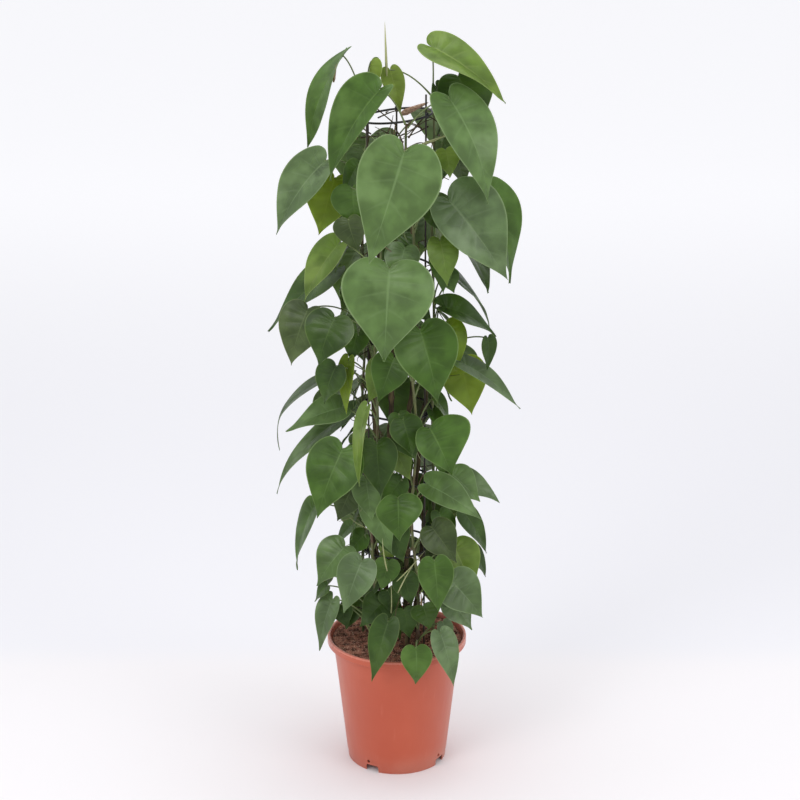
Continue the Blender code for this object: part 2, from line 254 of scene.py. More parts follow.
def turned(name, profile, steps):
    """A closed solid of revolution from a profile that runs down its outside."""
    mesh = bpy.data.meshes.new(name)
    points = [(radius, 0.0, height) for radius, height in profile]
    mesh.from_pydata(points, [(i, i + 1) for i in range(len(points) - 1)], [])
    made = link(bpy.data.objects.new(name, mesh))
    screw = made.modifiers.new("turned", "SCREW")
    screw.steps = steps
    screw.render_steps = steps
    screw.use_merge_vertices = True
    screw.merge_threshold = 0.00001
    return made


def cutter(name, fill, place, turn):
    """A solid that is cut out of another. Its own object doesn't stay in the scene."""
    mesh = bpy.data.meshes.new(name)
    bm = bmesh.new()
    fill(bm)
    bm.transform(Matrix.Translation(place) @ Matrix.Rotation(turn, 4, "Z"))
    bm.to_mesh(mesh)
    bm.free()
    return link(bpy.data.objects.new(name, mesh))


def notch_shape(bm):
    """A notch through the foot ring, with rounded upper corners."""
    bmesh.ops.create_cube(bm, size=1.0)
    bmesh.ops.scale(bm, vec=(NOTCH_WIDTH, NOTCH_REACH, 2 * FOOT_HEIGHT), verts=bm.verts)
    corners = [e for e in bm.edges if abs(e.verts[0].co.y - e.verts[1].co.y) > NOTCH_REACH / 2]
    bmesh.ops.bevel(bm, geom=corners, offset=NOTCH_CORNER, segments=5, profile=0.5, affect="EDGES")


def drain_shape(bm):
    """A round hole through the pot's wall."""
    turn = Matrix.Rotation(math.pi / 2, 4, "X")
    bmesh.ops.create_cone(
        bm, cap_ends=True, segments=DRAIN_SIDES, radius1=DRAIN_RADIUS, radius2=DRAIN_RADIUS,
        depth=6 * POT_WALL, matrix=turn,
    )


pot_profile = [(0.0, POT_WALL), (PAD_RADIUS - POT_WALL, POT_WALL), (PAD_RADIUS, FLOOR_TOP)]
floor_corner = (wall_radius(FLOOR_TOP) - POT_WALL - FLOOR_CURVE, FLOOR_TOP + FLOOR_CURVE)
pot_profile += arc(floor_corner, FLOOR_CURVE, -90, 0)
pot_profile += [(wall_radius(UNDER_RIM) - POT_WALL, UNDER_RIM - POT_WALL)]
pot_profile += arc((RIM_RADIUS - RIM_EDGE + RIM_LIP, POT_HEIGHT - RIM_LIP), RIM_LIP, 180, 90)
pot_profile += arc((RIM_RADIUS - RIM_LIP, POT_HEIGHT - RIM_LIP), RIM_LIP, 90, 0)
pot_profile += arc((RIM_RADIUS - RIM_LIP / 2, UNDER_RIM + RIM_LIP / 2), RIM_LIP / 2, 0, -90)
pot_profile += arc((BODY_RADIUS + COVE, UNDER_RIM - COVE), COVE, 90, 180)
pot_profile += [(wall_radius(h), h) for h in WALL_HEIGHTS]
pot_profile += [(wall_radius(FOOT_HEIGHT) - FOOT_STEP, FOOT_HEIGHT), (BASE_RADIUS - 0.0002, 0.001)]
pot_profile += [(BASE_RADIUS - 0.001, 0.0), (BASE_RADIUS - POT_WALL, 0.0)]
pot_profile += [(wall_radius(FOOT_HEIGHT) - POT_WALL, FOOT_HEIGHT), (PAD_RADIUS + POT_WALL, FOOT_HEIGHT)]
pot_profile += [(PAD_RADIUS, 0.0), (0.0, 0.0)]

pot_plastic, tree, shader = finish("pot_plastic", Specular_IOR_Level=0.42, Coat_Weight=0.05)
cloud = object_noise(tree, 9.0, 4.0)
scuff = object_noise(tree, 30.0, 5.0, (5.0, 5.0, 0.35))
place = node(tree, "ShaderNodeTexCoord").outputs["Object"]
height = node(tree, "ShaderNodeSeparateXYZ", {0: place}).outputs[2]
dusty = sums(
    tree, "MULTIPLY", ranged(tree, height, 0.05, 0.0), ranged(tree, cloud, 0.35, 0.7), clamp=True
)
color = blended(tree, ranged(tree, cloud, 0.3, 0.7), (0.475, 0.075, 0.030, 1), (0.515, 0.090, 0.038, 1))
scuffed = sums(tree, "MULTIPLY", ranged(tree, scuff, 0.62, 0.80), 0.22)
color = blended(tree, scuffed, color, (0.62, 0.20, 0.13, 1))
color = blended(tree, sums(tree, "MULTIPLY", dusty, 0.30), color, (0.58, 0.30, 0.22, 1))
# Painted sheen: the body is tinted paler where it turns away from the view, for light glancing off the
# plastic.
painted_edge_sheen = node(tree, "ShaderNodeLayerWeight", {"Blend": 0.28}).outputs["Facing"]
color = blended(tree, sums(tree, "MULTIPLY", painted_edge_sheen, 0.55), color, (0.56, 0.27, 0.22, 1))
# Painted highlight: a lighter band round the top of the rim, where light catches the lip.
painted_rim_highlight = ranged(tree, height, POT_HEIGHT - RIM_SHINE, POT_HEIGHT - RIM_LIP, 0.0, 0.50)
color = blended(tree, painted_rim_highlight, color, (0.78, 0.30, 0.22, 1))
tree.links.new(color, shader.inputs["Base Color"])
polish = ranged(tree, height, POT_HEIGHT - RIM_DEPTH, POT_HEIGHT - RIM_LIP, 0.0, 0.16)
tree.links.new(
    sums(tree, "SUBTRACT", ranged(tree, scuff, 0.35, 0.8, 0.40, 0.52), polish), shader.inputs["Roughness"]
)
bumped(tree, shader, object_noise(tree, 420.0, 2.0), 0.05, 0.0004)

pot = turned("pot_body", pot_profile, POT_STEPS)
pot.data.materials.append(pot_plastic)
cutters = []
for azimuth in NOTCHES:
    turn = math.radians(azimuth)
    drain_height = FLOOR_TOP + DRAIN_LIFT
    beside = direction(azimuth - 90.0) * (NOTCH_WIDTH / 4)
    place = direction(azimuth) * wall_radius(drain_height) + beside + Vector((0, 0, drain_height))
    cutters.append(cutter("notch", notch_shape, direction(azimuth) * BASE_RADIUS, turn))
    cutters.append(cutter("drain", drain_shape, place, turn))
for tool in cutters:
    cut = pot.modifiers.new(tool.name, "BOOLEAN")
    cut.operation = "DIFFERENCE"
    cut.object = tool
pot_mesh = plain_mesh(pot, "pot_body")
for tool in cutters:
    bpy.data.objects.remove(tool)
pot_mesh.shade_smooth()
pot_mesh.set_sharp_from_angle(angle=math.radians(SMOOTH_BELOW))
settle("pot_body", pot_mesh, "pot_plastic", "pot")


# The soil: coir and peat packed round the root ball, rough and slightly heaped, with loose crumbs
# and broken fibres on top. It fills the pot to just under the rim.
soil_low, soil_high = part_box("soil")
SOIL_TOP = soil_high.z
SOIL_STEPS = 120
SOIL_ROWS = 44
SOIL_RELIEF = 0.0042
HEAP = 0.006
HEAP_PLACE = Vector((-0.055, -0.06))
HEAP_SPREAD = 0.05
BITS_MARGIN = 0.006
# Loose bits: how many to the square metre, smallest and largest half sizes, seed.
CRUMBS = (62000.0, (0.0006, 0.0006, 0.0005), (0.0026, 0.0022, 0.0018), 4)
FIBRES = (12000.0, (0.00018, 0.00018, 0.002), (0.00032, 0.00032, 0.0065), 9)

coir, tree, shader = finish("coir_soil", Roughness=0.95, Specular_IOR_Level=0.15)
lump = object_noise(tree, 95.0, 5.0)
speck = object_noise(tree, 420.0, 3.0)
patch = object_noise(tree, 14.0, 2.0)
color = blended(tree, ranged(tree, lump, 0.36, 0.62), (0.070, 0.030, 0.020, 1), (0.400, 0.175, 0.118, 1))
color = blended(tree, ranged(tree, speck, 0.54, 0.70), color, (0.66, 0.42, 0.30, 1))
color = blended(tree, ranged(tree, patch, 0.52, 0.38, 0.0, 0.45), color, (0.040, 0.020, 0.014, 1))
tree.links.new(color, shader.inputs["Base Color"])
bumped(tree, shader, lump, 0.8, 0.003)


def grained(name, scale, dark, light, detail=2.0, stretch=(1, 1, 1), span=None, relief=None, **values):
    """A finish of two colours that follow a grain, which can also be its fine relief."""
    made, tree, shader = finish(name, **values)
    grain = object_noise(tree, scale, detail, stretch)
    share = ranged(tree, grain, *span) if span else grain
    tree.links.new(blended(tree, share, (*dark, 1), (*light, 1)), shader.inputs["Base Color"])
    if relief:
        bumped(tree, shader, grain, *relief)
    return made


fibre = grained("coir_fibre", 60.0, (0.20, 0.090, 0.050), (0.56, 0.36, 0.24), Roughness=0.8)

soil_side = soil_high.x
profile = [(soil_side * i / SOIL_ROWS, SOIL_TOP) for i in range(SOIL_ROWS + 1)]
neck = UNDER_RIM - POT_WALL
profile += [(wall_radius(h) - POT_WALL - 0.001, h) for h in (neck, soil_low.z)]
profile += [(0.0, soil_low.z)]
soil = turned("soil_top", profile, SOIL_STEPS)
soil.data.materials.append(coir)
soil_mesh = plain_mesh(soil, "soil_top")
for vertex in soil_mesh.vertices:
    if vertex.co.z > SOIL_TOP - 0.001:
        radius = vertex.co.xy.length
        inner = 1.0 - (radius / soil_side) ** 4
        rough = noise.fractal(vertex.co * 60.0, 1.0, 2.1, 4) + 0.6 * noise.noise(vertex.co * 240.0)
        mound = HEAP * math.exp(-((vertex.co.xy - HEAP_PLACE).length / HEAP_SPREAD) ** 2)
        vertex.co.z += (mound + SOIL_RELIEF * rough) * max(inner, 0.0) - 0.001
soil_mesh.shade_smooth()
settle("soil_top", soil_mesh, "coir_soil", "soil")


def geometry_tree(name, *sockets):
    """An empty Geometry Nodes tree with named inputs, and its input and output nodes."""
    made = bpy.data.node_groups.new(name, "GeometryNodeTree")
    made.is_modifier = True
    made.interface.new_socket("Geometry", in_out="INPUT", socket_type="NodeSocketGeometry")
    for label, kind in sockets:
        made.interface.new_socket(label, in_out="INPUT", socket_type=f"NodeSocket{kind}")
    made.interface.new_socket("Geometry", in_out="OUTPUT", socket_type="NodeSocketGeometry")
    return made, node(made, "NodeGroupInput").outputs, node(made, "NodeGroupOutput").inputs


def end_tree(tree, geometry, look, out):
    """The end of every tree: copies are made real, and the finish is set."""
    real = node(tree, "GeometryNodeRealizeInstances", {0: geometry})
    painted = node(tree, "GeometryNodeSetMaterial", {0: real.outputs[0], "Material": look})
    tree.links.new(painted.outputs[0], out[0])


def grow(obj, tree, **values):
    """Gives the object a Geometry Nodes modifier with these input values."""
    modifier = obj.modifiers.new(tree.name, "NODES")
    modifier.node_group = tree
    for item in tree.interface.items_tree:
        if item.in_out == "INPUT" and item.name.replace(" ", "_") in values:
            modifier[item.identifier] = values[item.name.replace(" ", "_")]
    return obj


scatter, given, out = geometry_tree(
    "scattered_bits", ("Density", "Float"), ("Smallest", "Vector"), ("Largest", "Vector"),
    ("Seed", "Int"), ("Finish", "Material"),
)
points = node(scatter, "GeometryNodeDistributePointsOnFaces", {
    "Mesh": given["Geometry"], "Density": given["Density"], "Seed": given["Seed"],
})
spin = node(scatter, "FunctionNodeRandomValue", {1: (math.tau, math.tau, math.tau)}, data_type="FLOAT_VECTOR")
size = node(
    scatter, "FunctionNodeRandomValue", {0: given["Smallest"], 1: given["Largest"], "Seed": 3},
    data_type="FLOAT_VECTOR",
)
bit = node(scatter, "GeometryNodeMeshIcoSphere", {"Radius": 1.0, "Subdivisions": 1})
copies = node(scatter, "GeometryNodeInstanceOnPoints", {
    "Points": points.outputs[0], "Instance": bit.outputs[0], "Rotation": spin.outputs[0],
    "Scale": size.outputs[0],
})
end_tree(scatter, copies.outputs[0], given["Finish"], out)

bed_mesh = soil_mesh.copy()
bm = bmesh.new()
bm.from_mesh(bed_mesh)
bed_edge = soil_side - BITS_MARGIN
outside = [f for f in bm.faces if f.normal.z < 0.3 or f.calc_center_median().xy.length > bed_edge]
bmesh.ops.delete(bm, geom=outside, context="FACES")
bm.to_mesh(bed_mesh)
bm.free()
for name, (density, smallest, largest, seed), look in (
    ("soil_crumbs", CRUMBS, coir), ("soil_fibres", FIBRES, fibre),
):
    bed = grow(
        link(bpy.data.objects.new(name, bed_mesh.copy())), scatter,
        Density=density, Smallest=smallest, Largest=largest, Seed=seed, Finish=look,
    )
    settle(name, plain_mesh(bed, name), "coir_soil")


# The tower: seven hoops of black plastic-coated wire on three uprights that are pushed into the
# soil, each crossing pinched in a small moulded clip.
RING_RADIUS = 0.058
RING_WIRE = 0.0018
RING_SPACING = 0.1225
FIRST_RING = 0.167
RING_TILTS = ((3.0, -2.0), (-2.0, 4.0), (4.0, 2.0), (-3.0, -3.0), (2.0, 4.0), (-4.0, 1.0), (1.0, -6.0))
RING_POINTS = 96
LEG_RADIUS = 0.0015
CLIP_RADIUS = 0.0030
CLIP_LENGTH = 0.009

strand, given, out = geometry_tree("round_strand", ("Sides", "Int"), ("Finish", "Material"))
section = node(strand, "GeometryNodeCurvePrimitiveCircle", {"Resolution": given["Sides"], "Radius": 1.0})
width = node(strand, "GeometryNodeInputRadius")
tube = node(strand, "GeometryNodeCurveToMesh", {
    "Curve": given["Geometry"], "Profile Curve": section.outputs[0], "Scale": width.outputs[0],
    "Fill Caps": True,
})
smooth = node(strand, "GeometryNodeSetShadeSmooth", {0: tube.outputs[0]})
end_tree(strand, smooth.outputs[0], given["Finish"], out)


def strands(name, paths, look, sides=10, closed=False):
    """Round strands as one mesh. Each path is a list of (point, radius)."""
    curve = bpy.data.curves.new(name, "CURVE")
    curve.dimensions = "3D"
    for path in paths:
        spline = curve.splines.new("POLY")
        spline.points.add(len(path) - 1)
        spline.use_cyclic_u = closed
        for point, (place, radius) in zip(spline.points, path):
            point.co = (*place, 1.0)
            point.radius = radius
    return plain_mesh(grow(link(bpy.data.objects.new(name, curve)), strand, Sides=sides, Finish=look), name)


ring_coating, tree, shader = finish("ring_coating", Specular_IOR_Level=0.5)
grime = object_noise(tree, 160.0, 3.0)
color = blended(tree, ranged(tree, grime, 0.55, 0.75), (0.012, 0.012, 0.013, 1), (0.055, 0.045, 0.038, 1))
tree.links.new(color, shader.inputs["Base Color"])
tree.links.new(ranged(tree, grime, 0.4, 0.7, 0.32, 0.6), shader.inputs["Roughness"])
bumped(tree, shader, grime, 0.2, 0.0005)

leg_coating, tree, shader = finish("leg_coating", Roughness=0.5)
color = blended(tree, object_noise(tree, 90.0, 3.0), (0.022, 0.017, 0.014, 1), (0.060, 0.042, 0.030, 1))
tree.links.new(color, shader.inputs["Base Color"])
bumped(tree, shader, object_noise(tree, 300.0), 0.2, 0.0005)

ring_frames = []
for i, (lean_back, lean_right) in enumerate(RING_TILTS):
    lift = Matrix.Translation((0, 0, POT_HEIGHT + FIRST_RING + i * RING_SPACING))
    turn = Matrix.Rotation(math.radians(lean_right), 4, "Y")
    turn @= Matrix.Rotation(math.radians(lean_back), 4, "X")
    ring_frames.append(lift @ turn)
    angles = [math.tau * k / RING_POINTS for k in range(RING_POINTS)]
    hoop = [
        (ring_frames[-1] @ Vector((RING_RADIUS * math.cos(a), RING_RADIUS * math.sin(a), 0)), RING_WIRE)
        for a in angles
    ]
    mesh = strands(f"hoop_{i + 1}", [hoop], ring_coating, closed=True)
    settle(mesh.name, mesh, "ring_coating", f"tower_ring_{i + 1}")

clip_paths = []
for i in range(3):
    low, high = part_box(f"tower_leg_{i + 1}")
    centre = (low + high) / 2
    foot = Vector((centre.x, centre.y, low.z))
    leg = [(foot, LEG_RADIUS), (Vector((centre.x, centre.y, high.z)), LEG_RADIUS)]
    mesh = strands(f"upright_{i + 1}", [leg], leg_coating, sides=14)
    settle(mesh.name, mesh, "leg_coating", f"tower_leg_{i + 1}")
    outward = Vector((centre.x, centre.y, 0)).normalized()
    for hoop_frame in ring_frames:
        crossing = hoop_frame @ (outward * RING_RADIUS)
        middle = Vector((centre.x + outward.x * LEG_RADIUS, centre.y + outward.y * LEG_RADIUS, crossing.z))
        half = Vector((0, 0, CLIP_LENGTH / 2))
        clip_paths.append([
            (middle - half, CLIP_RADIUS * 0.8), (middle - half * 0.8, CLIP_RADIUS),
            (middle + half * 0.8, CLIP_RADIUS), (middle + half, CLIP_RADIUS * 0.8),
        ])
settle("hoop_clips", strands("hoop_clips", clip_paths, ring_coating, sides=12), "ring_coating")


# The stems: five fleshy climbing shoots, olive and slightly zigzag, thicker at each node, with
# short brown aerial roots that grip the hoops.
STEM_RADIUS = 0.0028
STEM_CIRCLE = RING_RADIUS + RING_WIRE + 0.0010 + STEM_RADIUS
# Each stem's compass direction at the rim, its turn for each metre up, its sway, and its top.
STEMS = {
    "stem_front_left": (-42.0, 22.0, 4.0, 0.885),
    "stem_front_right": (32.0, -16.0, 5.0, 0.900),
    "stem_right": (100.0, 14.0, 4.0, 0.935),
    "stem_back": (172.0, 24.0, 6.0, 0.870),
    "stem_left": (-112.0, -16.0, 5.0, 0.905),
}
STEM_WAVES = 3.2
STEM_SLIMNESS = 0.92
STEM_TAPER = 0.25
STEM_ROOT = 0.042
STEM_POINTS = 220
NODE_SPACING = 0.052
NODE_SWELL = 0.30
ROOTS_PER_STEM = 14
ROOT_LENGTHS = (0.015, 0.040)
ROOT_RADIUS = 0.0011
ROOT_POINTS = 8
# Older, woody stems inside the hoops: compass direction, reach from the middle, radius, lowest and
# highest point above the rim.
OLD_STEMS = (
    (-25.0, 0.046, 0.0042, -0.01, 0.62), (20.0, 0.044, 0.0038, -0.01, 0.8),
    (75.0, 0.04, 0.0034, -0.01, 0.55), (150.0, 0.044, 0.004, -0.01, 0.72),
    (-80.0, 0.042, 0.0036, -0.01, 0.84), (-140.0, 0.046, 0.0038, -0.01, 0.5),
)

stem_bark, tree, shader = finish("stem_bark", Roughness=0.55)
streak = object_noise(tree, 40.0, 3.0, (4.0, 4.0, 0.6))
color = blended(tree, ranged(tree, streak, 0.35, 0.65), (0.070, 0.095, 0.028, 1), (0.180, 0.190, 0.070, 1))
color = blended(tree, ranged(tree, object_noise(tree, 22.0), 0.52, 0.66), color, (0.110, 0.065, 0.035, 1))
tree.links.new(color, shader.inputs["Base Color"])
bumped(tree, shader, streak, 0.35, 0.001)

root_skin = grained("aerial_root", 120.0, (0.085, 0.050, 0.028), (0.26, 0.19, 0.10), Roughness=0.75)


def stem_centre(stem, height):
    """Point on a stem's centre line at a height above the rim."""
    azimuth, turn, wave, _ = STEMS[stem]
    sway = wave * math.sin(math.tau * STEM_WAVES * height)
    centre = direction(azimuth + turn * height + sway) * STEM_CIRCLE
    return Vector((centre.x, centre.y, POT_HEIGHT + height))


chance = random.Random(11)
root_paths = []
for stem, (_, _, _, top) in STEMS.items():
    path = []
    for i in range(STEM_POINTS + 1):
        height = -STEM_ROOT + (top + STEM_ROOT) * i / STEM_POINTS
        phase = (height / NODE_SPACING) % 1.0
        swell = NODE_SWELL * math.exp(-((phase - 0.5) / 0.07) ** 2)
        slim = 1.0 - STEM_TAPER * max(height, 0.0) / top
        path.append((stem_centre(stem, height), STEM_RADIUS * STEM_SLIMNESS * (slim + swell)))
    mesh = strands(f"{stem}_shoot", [path], stem_bark, sides=14)
    settle(mesh.name, mesh, "stem_bark", stem)
    for i in range(ROOTS_PER_STEM):
        height = NODE_SPACING * (0.5 + int(chance.uniform(0, top / NODE_SPACING)))
        start = stem_centre(stem, height)
        inward = -start.xy.normalized()
        side = Vector((-inward.y, inward.x)) * chance.uniform(-1, 1)
        length = chance.uniform(*ROOT_LENGTHS)
        path = []
        for k in range(ROOT_POINTS + 1):
            share = k / ROOT_POINTS
            sway = 0.004 * math.sin(3.0 * share + i) * share
            drop = -0.55 * length * share**2 + sway
            shift = (inward * 0.5 + side) * length * share
            path.append((start + Vector((shift.x, shift.y, drop)), ROOT_RADIUS * (1.0 - 0.7 * share)))
        root_paths.append(path)
settle("aerial_roots", strands("aerial_roots", root_paths, root_skin, sides=6), "stem_bark")

old_bark = grained(
    "old_bark", 60.0, (0.035, 0.024, 0.013), (0.130, 0.098, 0.048), detail=4.0, stretch=(3.0, 3.0, 0.5),
    span=(0.35, 0.65), relief=(0.6, 0.002), Roughness=0.8, Specular_IOR_Level=0.25,
)
for i, (azimuth, reach, radius, low, high) in enumerate(OLD_STEMS):
    path = []
    for k in range(STEM_POINTS // 2 + 1):
        share = 2 * k / STEM_POINTS
        height = low + (high - low) * share
        wander = 0.006 * math.sin(23.0 * height + 2.0 * i) + 0.003 * math.sin(57.0 * height + i)
        place = direction(azimuth + 30.0 * height) * (reach + wander)
        knob = 0.35 * math.exp(-(((height / NODE_SPACING + 0.3 * i) % 1.0 - 0.5) / 0.10) ** 2)
        path.append((Vector((place.x, place.y, POT_HEIGHT + height)), radius * (1.0 + knob)))
    name = f"old_stem_{i + 1}"
    settle(name, strands(name, [path], old_bark, sides=12), "stem_bark")


# The leaf skin: one recipe for every leaf, waxy above and paler below. Veins leave the midrib and
# curve to the margin, the blade is quilted between them with painted shade in the hollows beside
# the veins, blotches of random tone and painted light and shade and a painted sheen lie over the
# colour, and the margin is a thin pale line of painted highlight.
VEIN_COUNT = 9.0

skin = bpy.data.node_groups.new("leaf_skin", "ShaderNodeTree")
for label, kind in (
    ("Skin", "Color"), ("Patch", "Color"), ("Vein", "Color"), ("Margin", "Color"), ("Gloss", "Float"),
):
    skin.interface.new_socket(label, in_out="INPUT", socket_type=f"NodeSocket{kind}")
for label, kind in (("Color", "Color"), ("Roughness", "Float"), ("Height", "Float")):
    skin.interface.new_socket(label, in_out="OUTPUT", socket_type=f"NodeSocket{kind}")
given = node(skin, "NodeGroupInput").outputs
out = node(skin, "NodeGroupOutput").inputs
on_blade = node(skin, "ShaderNodeUVMap", uv_map="blade").outputs[0]
blade_place = node(skin, "ShaderNodeSeparateXYZ", {0: on_blade})
along = blade_place.outputs[0]
aside = sums(skin, "ABSOLUTE", sums(skin, "MULTIPLY_ADD", blade_place.outputs[1], 2.0, -1.0))
phase = sums(skin, "FRACT", sums(skin, "MULTIPLY_ADD", along, VEIN_COUNT, 0.35))
vein_gap = sums(skin, "ABSOLUTE", sums(skin, "SUBTRACT", phase, 0.5))
vein_width = ranged(skin, aside, 0.0, 0.95, 0.14, 0.03)
side_vein = ranged(skin, vein_gap, vein_width, 0.0)
side_vein = sums(skin, "MULTIPLY", side_vein, ranged(skin, aside, 1.0, 0.45, 0.0, 0.40))
midrib = ranged(skin, aside, 0.050, 0.010)
veins = sums(skin, "MAXIMUM", midrib, side_vein)
tone_and_light_mottle = object_noise(skin, 34.0, 5.0)
sheen = object_noise(skin, 17.0, 3.0)
patchy = object_noise(skin, 7.0, 2.0)
color = blended(skin, ranged(skin, patchy, 0.34, 0.66), given["Skin"], given["Patch"])
# Partly random tone and partly painted light and shade: the colour is brightened and darkened in small
# blotches.
shade = node(skin, "ShaderNodeCombineColor")
for channel in range(3):
    skin.links.new(ranged(skin, tone_and_light_mottle, 0.3, 0.7, 0.74, 1.20), shade.inputs[channel])
color = blended(skin, 1.0, color, shade.outputs[0], "MULTIPLY")
# Painted shade: the blade is darkened in the hollows beside the side veins, more so near the midrib.
hollow_shade_mask = ranged(skin, vein_gap, 0.0, 0.5, 0.24, 0.0)
painted_hollow_shade = sums(skin, "MULTIPLY", hollow_shade_mask, ranged(skin, aside, 0.0, 0.7, 1.0, 0.2))
color = blended(skin, painted_hollow_shade, color, (0.012, 0.035, 0.008, 1))
color = blended(skin, ranged(skin, sheen, 0.46, 0.72, 0.0, 0.42), color, given["Vein"])
color = blended(skin, sums(skin, "MULTIPLY", veins, 0.55), color, given["Vein"])
# Painted highlight: a thin pale line along the margin, where light catches the blade's edge.
color = blended(skin, ranged(skin, aside, 0.955, 0.985, 0.0, 0.75), color, given["Margin"])
skin.links.new(color, out["Color"])
polish = ranged(skin, sheen, 0.35, 0.65, 0.08, -0.10)
skin.links.new(sums(skin, "ADD", given["Gloss"], polish), out["Roughness"])
cells = node(skin, "ShaderNodeTexVoronoi", {
    "Vector": node(skin, "ShaderNodeTexCoord").outputs["Object"], "Scale": 420.0,
}, feature="DISTANCE_TO_EDGE").outputs[0]
height = sums(skin, "MULTIPLY_ADD", veins, -1.0, sums(skin, "MULTIPLY", ranged(skin, cells, 0.0, 0.3), 0.16))
skin.links.new(height, out["Height"])


def leaf_finish(name, colors, glow, glow_share, gloss, relief, shine=0.42):
    """A leaf surface: the skin recipe on a Principled shader, with light let through from behind."""
    made, tree, shader = finish(name, Specular_IOR_Level=shine)
    look = node(tree, "ShaderNodeGroup")
    look.node_tree = skin
    for label, value in zip(("Skin", "Patch", "Vein", "Margin"), colors):
        look.inputs[label].default_value = (*value, 1.0)
    look.inputs["Gloss"].default_value = gloss
    tree.links.new(look.outputs["Color"], shader.inputs["Base Color"])
    tree.links.new(look.outputs["Roughness"], shader.inputs["Roughness"])
    bumped(tree, shader, look.outputs["Height"], relief, 0.0006)
    through = node(tree, "ShaderNodeBsdfTranslucent", {"Color": (*glow, 1.0)})
    mixed = node(tree, "ShaderNodeMixShader", {0: glow_share, 1: shader.outputs[0], 2: through.outputs[0]})
    tree.links.new(mixed.outputs[0], tree.nodes["Material Output"].inputs["Surface"])
    return made


# Each look: skin, patch and vein colours, the margin colour of its painted edge highlight, the colour
# and share of light let through, gloss, relief of the veins, and shine where it differs.
LEAF_LOOKS = {
    "mature": (
        ((0.122, 0.216, 0.060), (0.096, 0.174, 0.042), (0.22, 0.34, 0.13), (0.26, 0.37, 0.16)),
        (0.44, 0.56, 0.08), 0.20, 0.40, 0.40,
    ),
    "green": (
        ((0.072, 0.150, 0.024), (0.054, 0.118, 0.015), (0.14, 0.24, 0.06), (0.19, 0.29, 0.09)),
        (0.36, 0.48, 0.05), 0.18, 0.38, 0.45, 0.26,
    ),
    # The darkest green: partly the older leaves' own tone and partly painted shade, for leaves that sit in
    # the shade inside and behind the plant.
    "deep": (
        ((0.048, 0.100, 0.017), (0.034, 0.074, 0.010), (0.10, 0.17, 0.04), (0.16, 0.23, 0.07)),
        (0.28, 0.40, 0.04), 0.17, 0.36, 0.5, 0.26,
    ),
    "lime": (
        ((0.165, 0.270, 0.042), (0.130, 0.220, 0.030), (0.30, 0.40, 0.10), (0.34, 0.44, 0.14)),
        (0.62, 0.74, 0.10), 0.28, 0.40, 0.40,
    ),
    "dull": (
        ((0.070, 0.108, 0.032), (0.050, 0.080, 0.020), (0.14, 0.19, 0.07), (0.18, 0.22, 0.09)),
        (0.30, 0.32, 0.06), 0.12, 0.36, 0.5, 0.28,
    ),
    "silver": (
        ((0.125, 0.200, 0.078), (0.095, 0.158, 0.052), (0.22, 0.31, 0.15), (0.24, 0.34, 0.15)),
        (0.38, 0.50, 0.10), 0.18, 0.30, 0.40,
    ),
    "fresh": (
        ((0.250, 0.350, 0.052), (0.200, 0.300, 0.040), (0.38, 0.47, 0.13), (0.42, 0.50, 0.18)),
        (0.72, 0.80, 0.12), 0.32, 0.42, 0.35,
    ),
    "lit": (
        ((0.185, 0.300, 0.024), (0.150, 0.255, 0.019), (0.32, 0.42, 0.07), (0.36, 0.46, 0.11)),
        (0.86, 0.92, 0.07), 0.45, 0.42, 0.35,
    ),
}
LEAF_FINISHES = {name: leaf_finish(f"leaf_{name}", *look) for name, look in LEAF_LOOKS.items()}
LEAF_UNDERSIDE = leaf_finish(
    "leaf_underside", ((0.150, 0.250, 0.085), (0.125, 0.215, 0.065), (0.26, 0.36, 0.16), (0.26, 0.37, 0.15)),
    (0.50, 0.62, 0.12), 0.26, 0.55, -0.5,
)

stalk_skin = grained("leaf_stalk", 28.0, (0.115, 0.150, 0.045), (0.205, 0.270, 0.090), Roughness=0.45)


# The leaves: each is a heart-shaped blade on a slender arched stalk that springs from the
# nearest stem, and each stands in the place of its frame node.
STALK_RADIUS = 0.0015
STALK_DROP = 0.045
STALK_LOWEST = 0.0
STALK_LIFT = 0.28
STALK_POINTS = 18
STALK_SIDES = 8
BLADE_THICKNESS = 0.0006
BLADE_ROWS = 44
BLADE_COLUMNS = 10
REACH_OF_LEAF = 0.26
QUILTING = 0.018
TWIST = 9.0
MARGIN_WAVE = 0.024
HOOK_START = 0.55
HOOK_SPAN = 0.2
SMOOTH_BLADE_BELOW = 55.0
# The margin of half a blade, from the notch at the stalk round the lobe to the tip:
# the share of the blade's length, and the share of its half width.
HEART = (
    (-0.010, 0.030), (-0.065, 0.120), (-0.105, 0.340), (-0.080, 0.640), (0.045, 0.910), (0.220, 1.000),
    (0.430, 0.860), (0.640, 0.535), (0.820, 0.230), (0.925, 0.080), (1.000, 0.000),
)
VEIN_ROOTS = (0.008, 0.016, 0.028, 0.050, 0.090, 0.160, 0.285, 0.460, 0.670, 0.850, 0.985)


def smooth_through(values, share):
    """A Catmull-Rom curve through a list of numbers, at a share of its length."""
    place = share * (len(values) - 1)
    i = min(int(place), len(values) - 2)
    t = place - i
    a = values[max(i - 1, 0)]
    b, c = values[i], values[i + 1]
    d = values[min(i + 2, len(values) - 1)]
    return b + 0.5 * t * (c - a + t * (2 * a - 5 * b + 4 * c - d + t * (3 * (b - c) + d - a)))


